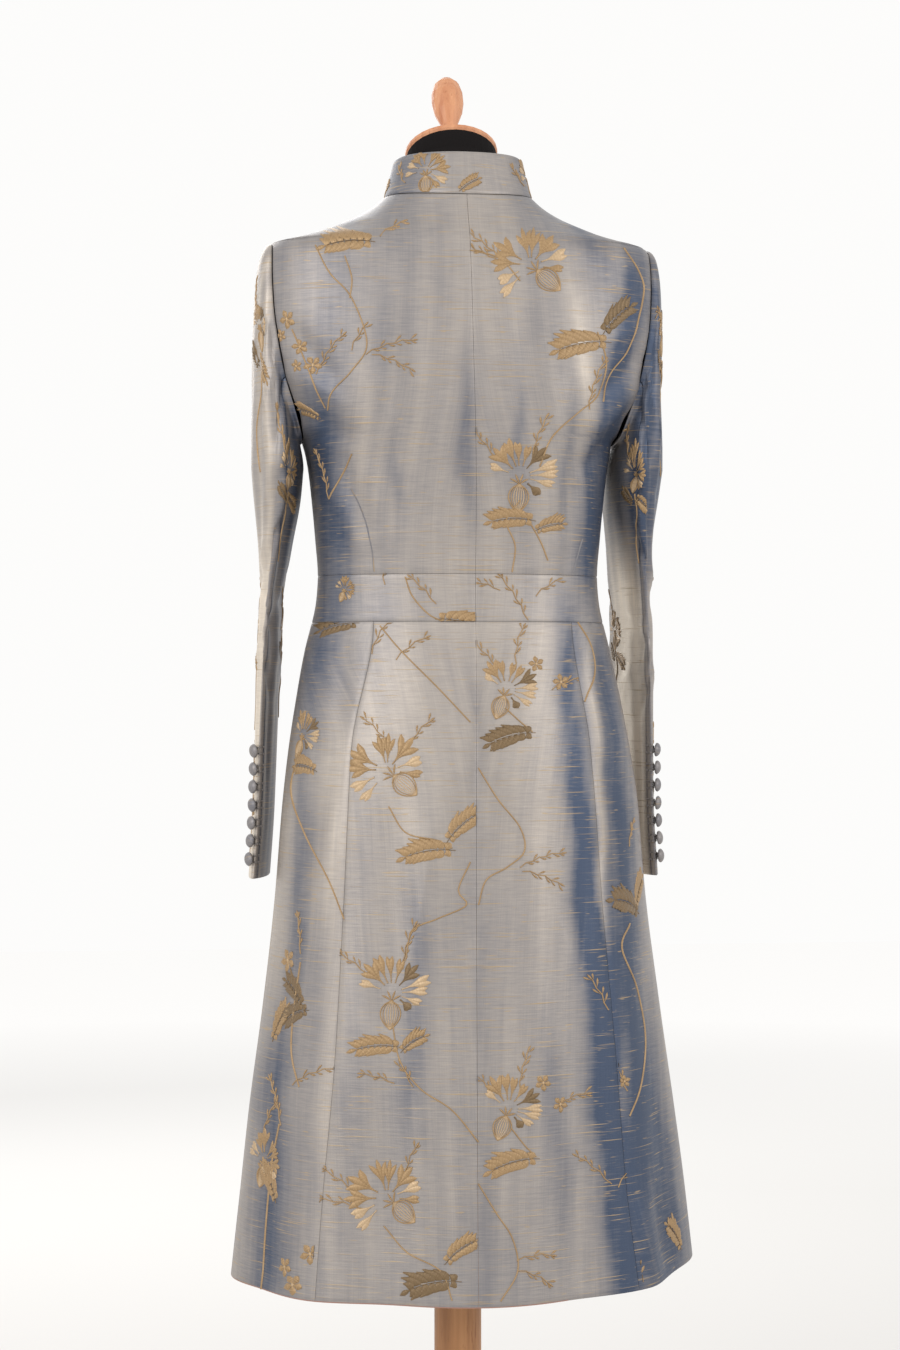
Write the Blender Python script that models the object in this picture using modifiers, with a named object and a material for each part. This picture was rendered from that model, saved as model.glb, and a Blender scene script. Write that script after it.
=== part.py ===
"""Fitted below-knee coat with a stand collar, worn by a limbless dress form on a turned stand.

Metres, +Z up. The coat faces -Y, so its back is towards +Y and the wearer's left towards +X.
The origin is the centre of the stand's base, on the floor.
"""

import math
from collections import namedtuple

import bmesh
import bpy
import numpy as np
from mathutils import Matrix, Vector

# Driving dimensions
CLOTH = 0.002
COLLAR_CLOTH = 0.003
SEAM_GAP = 0.0003
LAID_ON_GAP = 0.0003
HEM_Z = 0.360
WAIST_LOW_Z = 1.007
WAIST_HIGH_Z = 1.053
UNDERARM_Z = 1.185
SHOULDER_Z = 1.381
NECKLINE_Z = 1.4305
COLLAR_HEIGHT = 0.043
COLLAR_SIDE_DROP = 0.008
COLLAR_LEAN = 0.0115
COLLAR_FRONT_LEAN = 0.35
COLLAR_FRONT_GAP = math.radians(5)
COLLAR_ROUNDING = math.radians(20)
COLLAR_ROUNDING_DROP = 0.45
CUFF_Z = 0.752
SLEEVE_TOP_Z = 1.160
PLACKET_WIDTH = 0.020
BUTTON_RADIUS = 0.007
BUTTON_PITCH = 0.018
CUFF_BUTTONS = 7
LOWEST_CUFF_BUTTON_Z = 0.772
FRONT_BUTTONS = 8
FRONT_PITCH = 0.036
LOWEST_FRONT_BUTTON_Z = 1.083
BUTTON_SEAT = 0.6
FRONT_BUTTON_SEAT = 0.45
LOOP_THICKNESS = 0.0015
LOOP_HALF = 0.004
LOOP_FOOT_HALF = 0.0055
LOOP_ROOT = 0.12
LOOP_REACH = 0.30
BAND_REACH = 0.05
FORM_BOTTOM_Z = 0.740
FORM_BOTTOM_SCALE = 0.95
POST_RADIUS = 0.0235
BASE_RADIUS = 0.180
BASE_HEIGHT = 0.060
CAP_RADIUS = 0.0465
CAP_TILT = math.radians(27)
CAP_THICKNESS = 0.007
CAP_CENTRE = Vector((0.005, -0.012, 1.4745))

# Outer face of the cloth, a row per section: half width, depths behind and before the side line,
# sideways shift, squareness, and how far the section's back and front rise above its sides
Ring = namedtuple("Ring", "level half back front mid square back_rise front_rise")
COAT_RINGS = (
    Ring(0.360, 0.2285, 0.1690, 0.1650, -0.0060, 2.0, 0, 0),
    Ring(0.430, 0.2215, 0.1610, 0.1570, -0.0060, 2.0, 0, 0),
    Ring(0.530, 0.2105, 0.1520, 0.1480, -0.0050, 2.0, 0, 0),
    Ring(0.630, 0.1975, 0.1430, 0.1390, -0.0045, 2.0, 0, 0),
    Ring(0.730, 0.1860, 0.1340, 0.1300, -0.0035, 2.0, 0, 0),
    Ring(0.830, 0.1780, 0.1260, 0.1220, -0.0030, 2.0, 0, 0),
    Ring(0.880, 0.1715, 0.1200, 0.1160, -0.0020, 2.0, 0, 0),
    Ring(0.930, 0.1630, 0.1120, 0.1100, -0.0010, 2.0, 0, 0),
    Ring(0.980, 0.1530, 0.1020, 0.1040, 0, 2.0, 0, 0),
    Ring(1.030, 0.1415, 0.0930, 0.0990, 0, 2.1, 0, 0),
    Ring(1.053, 0.1400, 0.0915, 0.0985, 0, 2.1, 0, 0),
    Ring(1.090, 0.1425, 0.0940, 0.1060, 0, 2.2, 0, 0),
    Ring(1.130, 0.1460, 0.0990, 0.1200, 0, 2.3, 0, 0),
    Ring(1.160, 0.1495, 0.1030, 0.1285, 0, 2.3, 0, 0),
    Ring(1.185, 0.1550, 0.1060, 0.1310, 0, 2.4, 0, 0),
    Ring(1.195, 0.1640, 0.1070, 0.1310, 0, 2.4, 0, 0),
    Ring(1.213, 0.1735, 0.1085, 0.1290, 0, 2.4, 0, 0),
    Ring(1.245, 0.1870, 0.1095, 0.1250, 0, 2.4, 0, -0.002),
    Ring(1.283, 0.1965, 0.1090, 0.1180, 0, 2.4, 0, -0.006),
    Ring(1.320, 0.2000, 0.1065, 0.1090, 0, 2.4, 0, -0.012),
    Ring(1.352, 0.1985, 0.1020, 0.0995, 0, 2.4, 0, -0.019),
    Ring(1.3735, 0.1940, 0.0970, 0.0920, 0, 2.4, 0, -0.026),
    Ring(1.381, 0.1870, 0.0945, 0.0890, 0, 2.3, 0, -0.029),
    Ring(1.3855, 0.1670, 0.0920, 0.0865, 0, 2.3, 0, -0.031),
    Ring(1.391, 0.1480, 0.0885, 0.0840, 0, 2.2, -0.0003, -0.033),
    Ring(1.399, 0.1270, 0.0840, 0.0815, 0, 2.1, -0.001, -0.036),
    Ring(1.409, 0.1040, 0.0795, 0.0790, 0, 2.0, -0.002, -0.039),
    Ring(1.419, 0.0870, 0.0755, 0.0765, 0, 2.0, -0.004, -0.042),
    Ring(1.4305, 0.0735, 0.0725, 0.0735, 0, 2.0, -0.0065, -0.045),
)

# Half distance between the armhole seams at each height
Armhole = namedtuple("Armhole", "level reach")
ARMHOLE = (
    Armhole(1.185, 0.1550),
    Armhole(1.195, 0.1590),
    Armhole(1.213, 0.1645),
    Armhole(1.245, 0.1745),
    Armhole(1.283, 0.1825),
    Armhole(1.320, 0.1870),
    Armhole(1.352, 0.1880),
    Armhole(1.3735, 0.1875),
    Armhole(1.381, 0.1870),
)

# Sideways place of the skirt's seams, from the centre plane
SkirtSeams = namedtuple("SkirtSeams", "level centre_back left right")
SKIRT_SEAMS = (
    SkirtSeams(0.360, 0.0015, 0.1500, -0.1565),
    SkirtSeams(0.465, 0.0010, 0.1420, -0.1460),
    SkirtSeams(0.590, 0.0000, 0.1310, -0.1385),
    SkirtSeams(0.725, -0.0010, 0.1230, -0.1290),
    SkirtSeams(0.885, -0.0030, 0.1145, -0.1195),
    SkirtSeams(1.007, -0.0055, 0.0920, -0.1040),
    SkirtSeams(1.090, -0.0060, 0.0920, -0.1040),
    SkirtSeams(1.300, -0.0010, 0.0920, -0.1040),
    SkirtSeams(1.381, 0.0000, 0.0920, -0.1040),
    SkirtSeams(1.4305, 0.0000, 0.0600, -0.0600),
)

# Soft waves of the skirt: degrees from the centre back, width in degrees, swell at the hem
Wave = namedtuple("Wave", "angle width swell")
WAVES = (
    Wave(0, 12, 0.005),
    Wave(25, 11, -0.009),
    Wave(45, 9, 0.005),
    Wave(68, 10, -0.005),
    Wave(92, 11, 0.004),
    Wave(117, 11, -0.007),
    Wave(139, 10, 0.005),
    Wave(160, 10, -0.005),
    Wave(-24, 10, -0.008),
    Wave(-44, 9, 0.006),
    Wave(-66, 10, -0.005),
    Wave(-90, 11, 0.003),
    Wave(-115, 10, -0.007),
    Wave(-138, 10, 0.006),
    Wave(-161, 9, -0.004),
)
WAVE_TOP_Z = 0.860
WAVE_GROWTH = 1.2
RIGHT_HEM_LIFT = 0.012
RIGHT_LIFT_TOP_Z = 0.560

# A hanging sleeve's sections: outward and forward place, half depth, half thickness, turn
Section = namedtuple("Section", "level out forward depth thick turn")
SLEEVE = (
    Section(0.752, 0.1950, 0.0610, 0.0520, 0.0095, 10),
    Section(0.820, 0.1905, 0.0600, 0.0530, 0.0095, 10),
    Section(0.900, 0.1880, 0.0570, 0.0550, 0.0100, 10),
    Section(0.980, 0.1855, 0.0520, 0.0570, 0.0105, 9),
    Section(1.030, 0.1830, 0.0490, 0.0600, 0.0115, 8),
    Section(1.080, 0.1805, 0.0380, 0.0630, 0.0165, 6),
    Section(1.130, 0.1790, 0.0250, 0.0690, 0.0235, 4),
    Section(1.160, 0.1795, 0.0160, 0.0720, 0.0262, 3),
)
SLEEVE_SQUARE = 1.8
SLEEVE_SIDES = 16
BACK_SEAM = 5
FRONT_SEAM = 12
HEAD_ROWS = 6
ARM_ROWS = 12

# The sleeve's head: how it leaves the armhole, and its extra rise at the crown
HEAD_PUSH = 0.006
CROWN_PUSH = 0.010
HEAD_RISE = 0.77
HEAD_SPACING = 1.2

# The form's clearance inside the cloth, all round, at the sides and in front
Ease = namedtuple("Ease", "level around side front")
EASE = (
    Ease(0.740, 0.034, 0, 0),
    Ease(0.800, 0.024, 0, 0),
    Ease(0.860, 0.017, 0, 0),
    Ease(0.930, 0.012, 0, 0),
    Ease(1.007, 0.008, 0, 0),
    Ease(1.060, 0.006, 0, 0),
    Ease(1.150, 0.006, 0, 0.001),
    Ease(1.185, 0.007, 0.002, 0.002),
    Ease(1.250, 0.007, 0.022, 0.002),
    Ease(1.300, 0.006, 0.026, 0.002),
    Ease(1.350, 0.004, 0.024, 0.002),
    Ease(1.381, 0.001, 0.012, 0.002),
    Ease(1.3855, 0.0004, 0.003, 0.002),
    Ease(1.391, 0.0004, 0, 0.002),
    Ease(1.419, 0.0006, 0, 0.002),
    Ease(1.4305, 0.0020, 0, 0.002),
)

# The form's neck above its neckline: height, radius, tilt in degrees, share of the cap's shift
Neck = namedtuple("Neck", "level radius tilt shift")
NECK = (
    Neck(1.4360, 0.0560, 17, 0.15),
    Neck(1.4470, 0.0490, 20, 0.50),
    Neck(1.4590, 0.0465, 24, 0.80),
    Neck(CAP_CENTRE.z - 0.0003, 0.0455, 27, 1.00),
)

FORM_LEVELS = (FORM_BOTTOM_Z, 0.752, 0.800, 0.860, 0.930, 1.000, 1.060, 1.110, 1.160, 1.200,
               1.245, 1.290, 1.330, 1.355, 1.3735, SHOULDER_Z)
WAIST_LEVELS = (WAIST_LOW_Z, 1.030, WAIST_HIGH_Z)
SIDE_LEVELS = (WAIST_HIGH_Z, 1.090, 1.130, 1.160, UNDERARM_Z)
SHOULDER_LEVELS = (1.3855, 1.391, 1.399, 1.409, 1.419, NECKLINE_Z)
ARMHOLE_STEPS = 8
SKIRT_ROWS = 15
FORM_COLUMNS = 32
BODICE_COLUMNS = 8
GORE_COLUMNS = 6
SCREW_SIDES = 32
FINIAL_SIDES = 16
BUTTON_SIDES = 8

# Turned pieces, from the top down their outer side
Rim = namedtuple("Rim", "radius height")
BUTTON_PROFILE = (
    Rim(0, 0.0078),
    Rim(0.0042, 0.0069),
    Rim(BUTTON_RADIUS, 0.0044),
    Rim(0.0060, 0.0024),
    Rim(0.0016, 0.0024),
    Rim(0.0016, 0),
    Rim(0, 0),
)
CAP_PROFILE = (
    Rim(0, CAP_THICKNESS),
    Rim(0.0440, CAP_THICKNESS),
    Rim(CAP_RADIUS, 0.0050),
    Rim(CAP_RADIUS, 0.0020),
    Rim(0.0450, 0),
    Rim(0, 0),
)
FINIAL_PROFILE = (
    Rim(0, 0.0905),
    Rim(0.0070, 0.0885),
    Rim(0.0130, 0.0815),
    Rim(0.0160, 0.0700),
    Rim(0.0162, 0.0600),
    Rim(0.0142, 0.0480),
    Rim(0.0108, 0.0390),
    Rim(0.0080, 0.0320),
    Rim(0.0066, 0.0230),
    Rim(0.0085, 0.0130),
    Rim(0.0110, 0.0060),
    Rim(0.0115, 0),
    Rim(0, 0),
)
BASE_PROFILE = (
    Rim(0, BASE_HEIGHT),
    Rim(0.0300, BASE_HEIGHT),
    Rim(0.0360, 0.0540),
    Rim(0.0400, 0.0440),
    Rim(0.0700, 0.0370),
    Rim(0.1300, 0.0310),
    Rim(0.1650, 0.0240),
    Rim(BASE_RADIUS, 0.0150),
    Rim(BASE_RADIUS, 0.0040),
    Rim(0.1760, 0),
    Rim(0, 0),
)

Finish = namedtuple("Finish", "colour roughness metallic")
SILK = Finish((0.25, 0.27, 0.31), 0.42, 0.1)
BLACK_CLOTH = Finish((0.012, 0.012, 0.014), 0.85, 0.0)
WOOD = Finish((0.55, 0.36, 0.20), 0.45, 0.0)


class Profile:
    """The named columns of a table as smooth curves over its first column, with no overshoot."""

    def __init__(self, rows):
        self.row = type(rows[0])
        self.at = np.array([row[0] for row in rows], dtype=float)
        self.values = np.array([row[1:] for row in rows], dtype=float)
        rise = np.diff(self.values, axis=0) / np.diff(self.at)[:, None]
        below, above = rise[:-1], rise[1:]
        same_way = below * above > 0
        total = np.where(same_way, below + above, 1.0)
        inner = np.where(same_way, 2 * below * above / total, 0.0)
        self.slopes = np.vstack([rise[:1], inner, rise[-1:]])

    def __call__(self, level):
        level = min(max(level, self.at[0]), self.at[-1])
        low = min(int(np.searchsorted(self.at, level, side="right")) - 1, len(self.at) - 2)
        span = self.at[low + 1] - self.at[low]
        t = (level - self.at[low]) / span
        start = (1 + 2 * t) * (1 - t) ** 2 * self.values[low]
        start = start + t * (1 - t) ** 2 * span * self.slopes[low]
        end = t * t * (3 - 2 * t) * self.values[low + 1]
        end = end + t * t * (t - 1) * span * self.slopes[low + 1]
        return self.row(level, *(start + end))


coat_ring = Profile(COAT_RINGS)
armhole_at = Profile(ARMHOLE)
seams_at = Profile(SKIRT_SEAMS)
sleeve_section = Profile(SLEEVE)
ease_at = Profile(EASE)


def wave_swell(angle, level):
    """How far the skirt's soft waves push the cloth out."""
    strength = max(0.0, (WAVE_TOP_Z - level) / (WAVE_TOP_Z - HEM_Z)) ** WAVE_GROWTH
    if strength == 0:
        return 0.0
    total = 0.0
    for wave in WAVES:
        turn = math.remainder(angle - math.radians(wave.angle), 2 * math.pi)
        total += wave.swell * math.exp(-(turn / math.radians(wave.width)) ** 2)
    return total * strength


def coat_point(angle, level):
    """A point of the cloth's outer face; the angle runs from the centre back to the left side."""
    ring = coat_ring(level)
    sine, cosine = math.sin(angle), math.cos(angle)
    square = ring.square
    reach = (abs(sine) ** square + abs(cosine) ** square) ** (-1 / square)
    reach *= 1 + wave_swell(angle, level) / ring.half
    depth, rise = (ring.back, ring.back_rise) if cosine > 0 else (ring.front, ring.front_rise)
    lift = RIGHT_HEM_LIFT * max(0.0, (RIGHT_LIFT_TOP_Z - level) / (RIGHT_LIFT_TOP_Z - HEM_Z))
    height = level + rise * cosine ** 2 + lift * max(0.0, -sine) ** 3
    return Vector((ring.mid + ring.half * sine * reach, depth * cosine * reach, height))


def coat_normal(angle, level):
    """The outward direction of the cloth at a point."""
    step, rise = 0.01, 0.0008
    low, high = max(level - rise, HEM_Z), min(level + rise, NECKLINE_Z)
    along = coat_point(angle + step, level) - coat_point(angle - step, level)
    up = coat_point(angle, high) - coat_point(angle, low)
    return up.cross(along).normalized()


def angle_at(x, level):
    """The back half's angle at which the ring reaches a sideways place."""
    ring = coat_ring(level)
    share = min(abs(x - ring.mid) / ring.half, 1.0) ** ring.square
    if share > 0.999999:
        return math.copysign(math.pi / 2, x)
    return math.copysign(math.atan((share / (1 - share)) ** (1 / ring.square)), x - ring.mid)


def armhole_levels():
    """Heights of the armhole's points, from the underarm to the shoulder, evenly round it."""
    middle = (UNDERARM_Z + SHOULDER_Z) / 2
    half = (SHOULDER_Z - UNDERARM_Z) / 2
    turns = [math.pi * step / ARMHOLE_STEPS for step in range(ARMHOLE_STEPS + 1)]
    return [middle - half * math.cos(turn) for turn in turns]


def side_angle(level):
    """The angle of the side seam, then the armhole's back edge, then the shoulder seam."""
    if level <= UNDERARM_Z or level >= SHOULDER_Z:
        return math.pi / 2
    return angle_at(armhole_at(level).reach, level)


def spread(start, end, count):
    return [start + (end - start) * step / count for step in range(count + 1)]


def back_angles(side, level):
    centre = angle_at(seams_at(level).centre_back, level) if level < SHOULDER_Z else 0.0
    return spread(centre, side * side_angle(level), BODICE_COLUMNS)


def placket_angle(level):
    ring = coat_ring(level)
    return math.pi - math.atan(PLACKET_WIDTH / ring.half)


def front_angles(side, level):
    start = math.pi - side_angle(level)
    angles = spread(start, placket_angle(level), BODICE_COLUMNS - 1) + [math.pi]
    return [side * angle for angle in angles]


def gore_edges(side, level):
    """Angles of the skirt's seams on one side, from the centre back to the centre front."""
    seams = seams_at(level)
    princess = angle_at(seams.left if side > 0 else seams.right, level)
    centre = angle_at(seams.centre_back, level)
    return [centre, princess, side * math.pi / 2, side * math.pi - princess, side * math.pi]


def coat_grid(levels, angles_at):
    """Rows of points and outward directions, a row per level."""
    points, normals = [], []
    for level in levels:
        angles = angles_at(level)
        points.append([coat_point(angle, level) for angle in angles])
        normals.append([coat_normal(angle, level) for angle in angles])
    return points, normals


def trimmed(points, gap):
    """The same rows of points, each edge drawn back by half a seam's gap."""
    rows = [[point.copy() for point in row] for row in points]
    for old, new in zip(points, rows):
        new[0] += (old[1] - old[0]).normalized() * gap / 2
        new[-1] += (old[-2] - old[-1]).normalized() * gap / 2
    for end, inside in ((0, 1), (-1, -2)):
        for column, new in enumerate(rows[end]):
            new += (points[inside][column] - points[end][column]).normalized() * gap / 2
    return rows


def collection_of(name):
    found = bpy.data.collections.get(name)
    if found is None:
        found = bpy.data.collections.new(name)
        bpy.context.scene.collection.children.link(found)
    return found


def material_of(name, finish):
    material = bpy.data.materials.new(name)
    material.use_nodes = True
    shader = material.node_tree.nodes["Principled BSDF"]
    shader.inputs["Base Color"].default_value = (*finish.colour, 1)
    shader.inputs["Roughness"].default_value = finish.roughness
    shader.inputs["Metallic"].default_value = finish.metallic
    return material


def add_solid(name, vertices, faces, finish):
    """A closed solid from its points and faces, facing out, in the coat's collection."""
    mesh = bpy.data.meshes.new(name)
    mesh.from_pydata([tuple(vertex) for vertex in vertices], [], faces)
    shape = bmesh.new()
    shape.from_mesh(mesh)
    bmesh.ops.recalc_face_normals(shape, faces=shape.faces)
    shape.to_mesh(mesh)
    shape.free()
    mesh.shade_smooth()
    mesh.set_sharp_from_angle(angle=math.radians(50))
    solid = bpy.data.objects.new(name, mesh)
    solid.data.materials.append(material_of(name, finish))
    collection_of("coat_on_form").objects.link(solid)
    return solid


def wall(name, outer, inner, finish=SILK):
    """A wall of cloth between its outer and its inner rows of points."""
    rows, columns = len(outer), len(outer[0])
    sheet = rows * columns
    vertices = [point for side in (outer, inner) for row in side for point in row]
    faces = []
    for row in range(rows - 1):
        for column in range(columns - 1):
            a = row * columns + column
            b, c, d = a + 1, a + columns + 1, a + columns
            faces += [(a, b, c), (a, c, d)]
            faces += [(sheet + a, sheet + c, sheet + b), (sheet + a, sheet + d, sheet + c)]
    rising = [(column, column + 1) for column in range(columns - 1)]
    rising += [(row * columns + columns - 1, (row + 1) * columns + columns - 1)
               for row in range(rows - 1)]
    falling = [((rows - 1) * columns + column, (rows - 1) * columns + column + 1)
               for column in range(columns - 1)]
    falling += [(row * columns, (row + 1) * columns) for row in range(rows - 1)]
    for low, high in rising:
        faces += [(low, sheet + low, sheet + high), (low, sheet + high, high)]
    for low, high in falling:
        faces += [(low, sheet + high, sheet + low), (low, high, sheet + high)]
    return add_solid(name, vertices, faces, finish)


def moved(points, normals, distance):
    return [[p + n * distance for p, n in zip(row, away)] for row, away in zip(points, normals)]


def coat_panel(name, levels, angles_at):
    """A panel of the coat's body, and its outer rows of points."""
    points, normals = coat_grid(levels, angles_at)
    outer = trimmed(points, SEAM_GAP)
    wall(name, outer, moved(outer, normals, -CLOTH))
    return outer


def make_bodice(side, hand):
    levels = list(SIDE_LEVELS[:-1]) + armhole_levels() + list(SHOULDER_LEVELS)
    coat_panel("bodice_back_" + hand, levels, lambda level: back_angles(side, level))
    return coat_panel("bodice_front_" + hand, levels, lambda level: front_angles(side, level))


def make_waistband(side, hand):
    coat_panel("waistband_back_" + hand, WAIST_LEVELS, lambda level: back_angles(side, level))
    coat_panel("waistband_front_" + hand, WAIST_LEVELS, lambda level: front_angles(side, level))


def make_skirt(side, hand):
    levels = spread(HEM_Z, WAIST_LOW_Z, SKIRT_ROWS)
    for gore, part in enumerate(("back", "side_back", "side_front", "front")):
        def angles_at(level, gore=gore):
            edges = gore_edges(side, level)
            return spread(edges[gore], edges[gore + 1], GORE_COLUMNS)
        coat_panel("skirt_" + part + "_" + hand, levels, angles_at)


def neckline_point(angle):
    """A point of the neckline's edge, which runs straight across the front placket."""
    placket = placket_angle(NECKLINE_Z)
    if abs(angle) <= placket:
        return coat_point(angle, NECKLINE_Z)
    side = math.copysign(1, angle)
    share = (abs(angle) - placket) / (math.pi - placket)
    return coat_point(side * placket, NECKLINE_Z).lerp(coat_point(math.pi, NECKLINE_Z), share)


def make_collar():
    """The stand collar: it leans in as it rises, and its front ends are rounded."""
    end = math.pi - COLLAR_FRONT_GAP
    angles = [angle for angle in back_angles(-1, NECKLINE_Z)[:0:-1]]
    angles += back_angles(1, NECKLINE_Z)
    left_front = [angle for angle in front_angles(1, NECKLINE_Z) if angle < end][1:] + [end]
    angles = [-angle for angle in left_front[::-1]] + angles + left_front
    outer, normals = [], []
    for share in (0.0, 0.33, 0.67, 1.0):
        row, away = [], []
        for angle in angles:
            foot = neckline_point(angle)
            flat = Vector((foot.x, foot.y, 0)).normalized()
            to_end = min((end - abs(angle)) / COLLAR_ROUNDING, 1.0)
            height = COLLAR_HEIGHT - COLLAR_SIDE_DROP * min(1.0, 1 - math.cos(angle))
            height *= 1 - COLLAR_ROUNDING_DROP * (1 - to_end) ** 2.5
            lean = COLLAR_LEAN * height / COLLAR_HEIGHT
            lean *= 1 - (1 - COLLAR_FRONT_LEAN) * max(0.0, -math.cos(angle))
            rise = Vector((0, 0, SEAM_GAP + height * share))
            row.append(foot + rise - flat * (lean * share))
            away.append(flat)
        outer.append(row)
        normals.append(away)
    wall("collar", outer, moved(outer, normals, -COLLAR_CLOTH))


def hanging_point(side, turn, level):
    """A point of the hanging sleeve's outer face; the turn runs from its outer side to the back."""
    section = sleeve_section(level)
    cosine, sine = math.cos(turn), math.sin(turn)
    reach = (abs(cosine) ** SLEEVE_SQUARE + abs(sine) ** SLEEVE_SQUARE) ** (-1 / SLEEVE_SQUARE)
    thick, depth = section.thick * cosine * reach, section.depth * sine * reach
    twist = math.radians(section.turn)
    x = section.out + math.cos(twist) * thick + math.sin(twist) * depth
    y = -section.forward + math.cos(twist) * depth - math.sin(twist) * thick
    return Vector((side * x, y, level))


def armhole_point(side, column):
    """The armhole's seam point for a column of the sleeve, and the direction out through it."""
    levels = armhole_levels()
    level = levels[abs(ARMHOLE_STEPS - column)]
    angle = side_angle(level)
    if column > ARMHOLE_STEPS:
        angle = math.pi - angle
    rise = 0.004
    slope = (armhole_at(level + rise).reach - armhole_at(level - rise).reach) / (2 * rise)
    through = Vector((side, 0, -slope)).normalized()
    return coat_point(side * angle, level), through


def sleeve_rows(side):
    """The sleeve's outer points, a row from the armhole seam to the cuff, all round."""
    turns = [2 * math.pi * column / SLEEVE_SIDES for column in range(SLEEVE_SIDES)]
    rows = []
    for step in range(HEAD_ROWS):
        t = (step / HEAD_ROWS) ** HEAD_SPACING
        row = []
        for column, turn in enumerate(turns):
            seam, through = armhole_point(side, column)
            end = hanging_point(side, turn, SLEEVE_TOP_Z)
            above = (1 + math.cos(turn)) / 2
            start = seam + through * SEAM_GAP
            first = start + through * (HEAD_PUSH + CROWN_PUSH * above)
            last = end + Vector((0, 0, HEAD_RISE * (seam.z - end.z)))
            row.append(start * (1 - t) ** 3 + first * 3 * t * (1 - t) ** 2
                       + last * 3 * t * t * (1 - t) + end * t ** 3)
        rows.append(row)
    for level in spread(SLEEVE_TOP_Z, CUFF_Z, ARM_ROWS):
        rows.append([hanging_point(side, turn, level) for turn in turns])
    return rows


def ring_normals(rows, side):
    """Outward directions for rows of points that close round a tube and run downwards."""
    normals = []
    count = len(rows[0])
    for index, row in enumerate(rows):
        above, below = rows[max(index - 1, 0)], rows[min(index + 1, len(rows) - 1)]
        away = []
        for column in range(count):
            around = row[(column + 1) % count] - row[column - 1]
            down = below[column] - above[column]
            away.append((around.cross(down) * -side).normalized())
        normals.append(away)
    return normals


def make_sleeve(side, hand):
    """Top and under sleeve; returns the top sleeve's outer rows, from its front to its back seam."""
    rows = sleeve_rows(side)
    normals = ring_normals(rows, side)
    for column in range(SLEEVE_SIDES):
        through = armhole_point(side, column)[1]
        normals[0][column] -= through * normals[0][column].dot(through)
        normals[0][column].normalize()
    top = [column % SLEEVE_SIDES for column in range(FRONT_SEAM, SLEEVE_SIDES + BACK_SEAM + 1)]
    under = list(range(BACK_SEAM, FRONT_SEAM + 1))
    made = {}
    for part, columns in (("top", top), ("under", under)):
        outer = [[row[column] for column in columns] for row in rows]
        away = [[row[column] for column in columns] for row in normals]
        outer = trimmed(outer, SEAM_GAP)
        wall("sleeve_" + part + "_" + hand, outer, moved(outer, away, -CLOTH))
        made[part] = outer
    return made["top"]


def rail(rows, column):
    """A column of a panel's points as a line that is read by height."""
    line = sorted((row[column] for row in rows), key=lambda point: point.z)
    heights = [point.z for point in line]

    def at(height):
        return Vector([float(np.interp(height, heights, [p[axis] for p in line]))
                       for axis in range(3)])
    return at


def facing(first, second, rows_up, outward):
    """The direction square to two points and the upright one, on the outward side."""
    normal = (second - first).cross(rows_up).normalized()
    return normal if normal.dot(outward) > 0 else -normal


def loop_strip(name, rails, outward, heights, creases):
    """A strip of rouleau loops: a band on one side of an edge, with a tab for each button."""
    root, corner, tip = rails
    stations = [(height + offset, reach) for height in heights
                for offset, reach in ((-LOOP_FOOT_HALF, 0), (-LOOP_HALF, 1),
                                      (LOOP_HALF, 1), (LOOP_FOOT_HALF, 0))]
    low, high = stations[0][0], stations[-1][0]
    for crease in creases:
        nearest = min(heights, key=lambda height: abs(height - crease))
        clear = min(abs(crease - station) for station, reach in stations) > 0.0006
        if low < crease < high and clear:
            stations.append((crease, 1 if abs(crease - nearest) < LOOP_HALF else 0))
    rows, normals = [], []
    for z, reach in sorted(stations):
        a, b, c = root(z), corner(z), tip(z)
        run = root(z + 0.004) - root(z - 0.004)
        near, far = facing(a, b, run, outward), facing(b, c, run, outward)
        bend = (near + far).normalized()
        rows.append([a.lerp(b, LOOP_ROOT), b, b.lerp(c, LOOP_REACH if reach else BAND_REACH)])
        normals.append([near, bend, far])
    inner = moved(rows, normals, LAID_ON_GAP)
    wall(name, moved(rows, normals, LAID_ON_GAP + LOOP_THICKNESS), inner)


def turned(name, profile, sides, finish, place=Matrix.Identity(4)):
    """A turned solid from the table of its profile."""
    mesh = bpy.data.meshes.new(name)
    points = [(rim.radius, 0, rim.height) for rim in profile]
    mesh.from_pydata(points, [(i, i + 1) for i in range(len(points) - 1)], [])
    solid = bpy.data.objects.new(name, mesh)
    solid.matrix_world = place
    collection_of("coat_on_form").objects.link(solid)
    screw = solid.modifiers.new("turn", "SCREW")
    screw.steps = screw.render_steps = sides
    screw.use_merge_vertices = True
    screw.merge_threshold = 0.00001
    screw.use_smooth_shade = True
    solid.data.materials.append(material_of(name, finish))
    return solid


def set_button(name, seat, outward):
    """A covered button on its shank, just clear of the cloth."""
    turn = outward.to_track_quat("Z", "Y").to_matrix().to_4x4()
    place = Matrix.Translation(seat + outward * LAID_ON_GAP) @ turn
    turned(name, BUTTON_PROFILE, BUTTON_SIDES, SILK, place)


def make_cuff_closure(top_rows, side, hand):
    """The back seam's buttons and loops; the last columns of the top sleeve run to the seam."""
    rails = (rail(top_rows, -1), rail(top_rows, -2), rail(top_rows, -3))
    outward = Vector((0.2 * side, 1, 0)).normalized()
    heights = [LOWEST_CUFF_BUTTON_Z + BUTTON_PITCH * step for step in range(CUFF_BUTTONS)]
    for number, height in enumerate(heights, start=1):
        corner, tip = rails[1](height), rails[2](height)
        normal = facing(corner, tip, Vector((0, 0, 1)), outward)
        set_button(f"cuff_button_{hand}_{number}", corner.lerp(tip, BUTTON_SEAT), normal)
    creases = [row[-2].z for row in top_rows]
    loop_strip("cuff_loops_" + hand, rails, outward, heights, creases)


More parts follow.
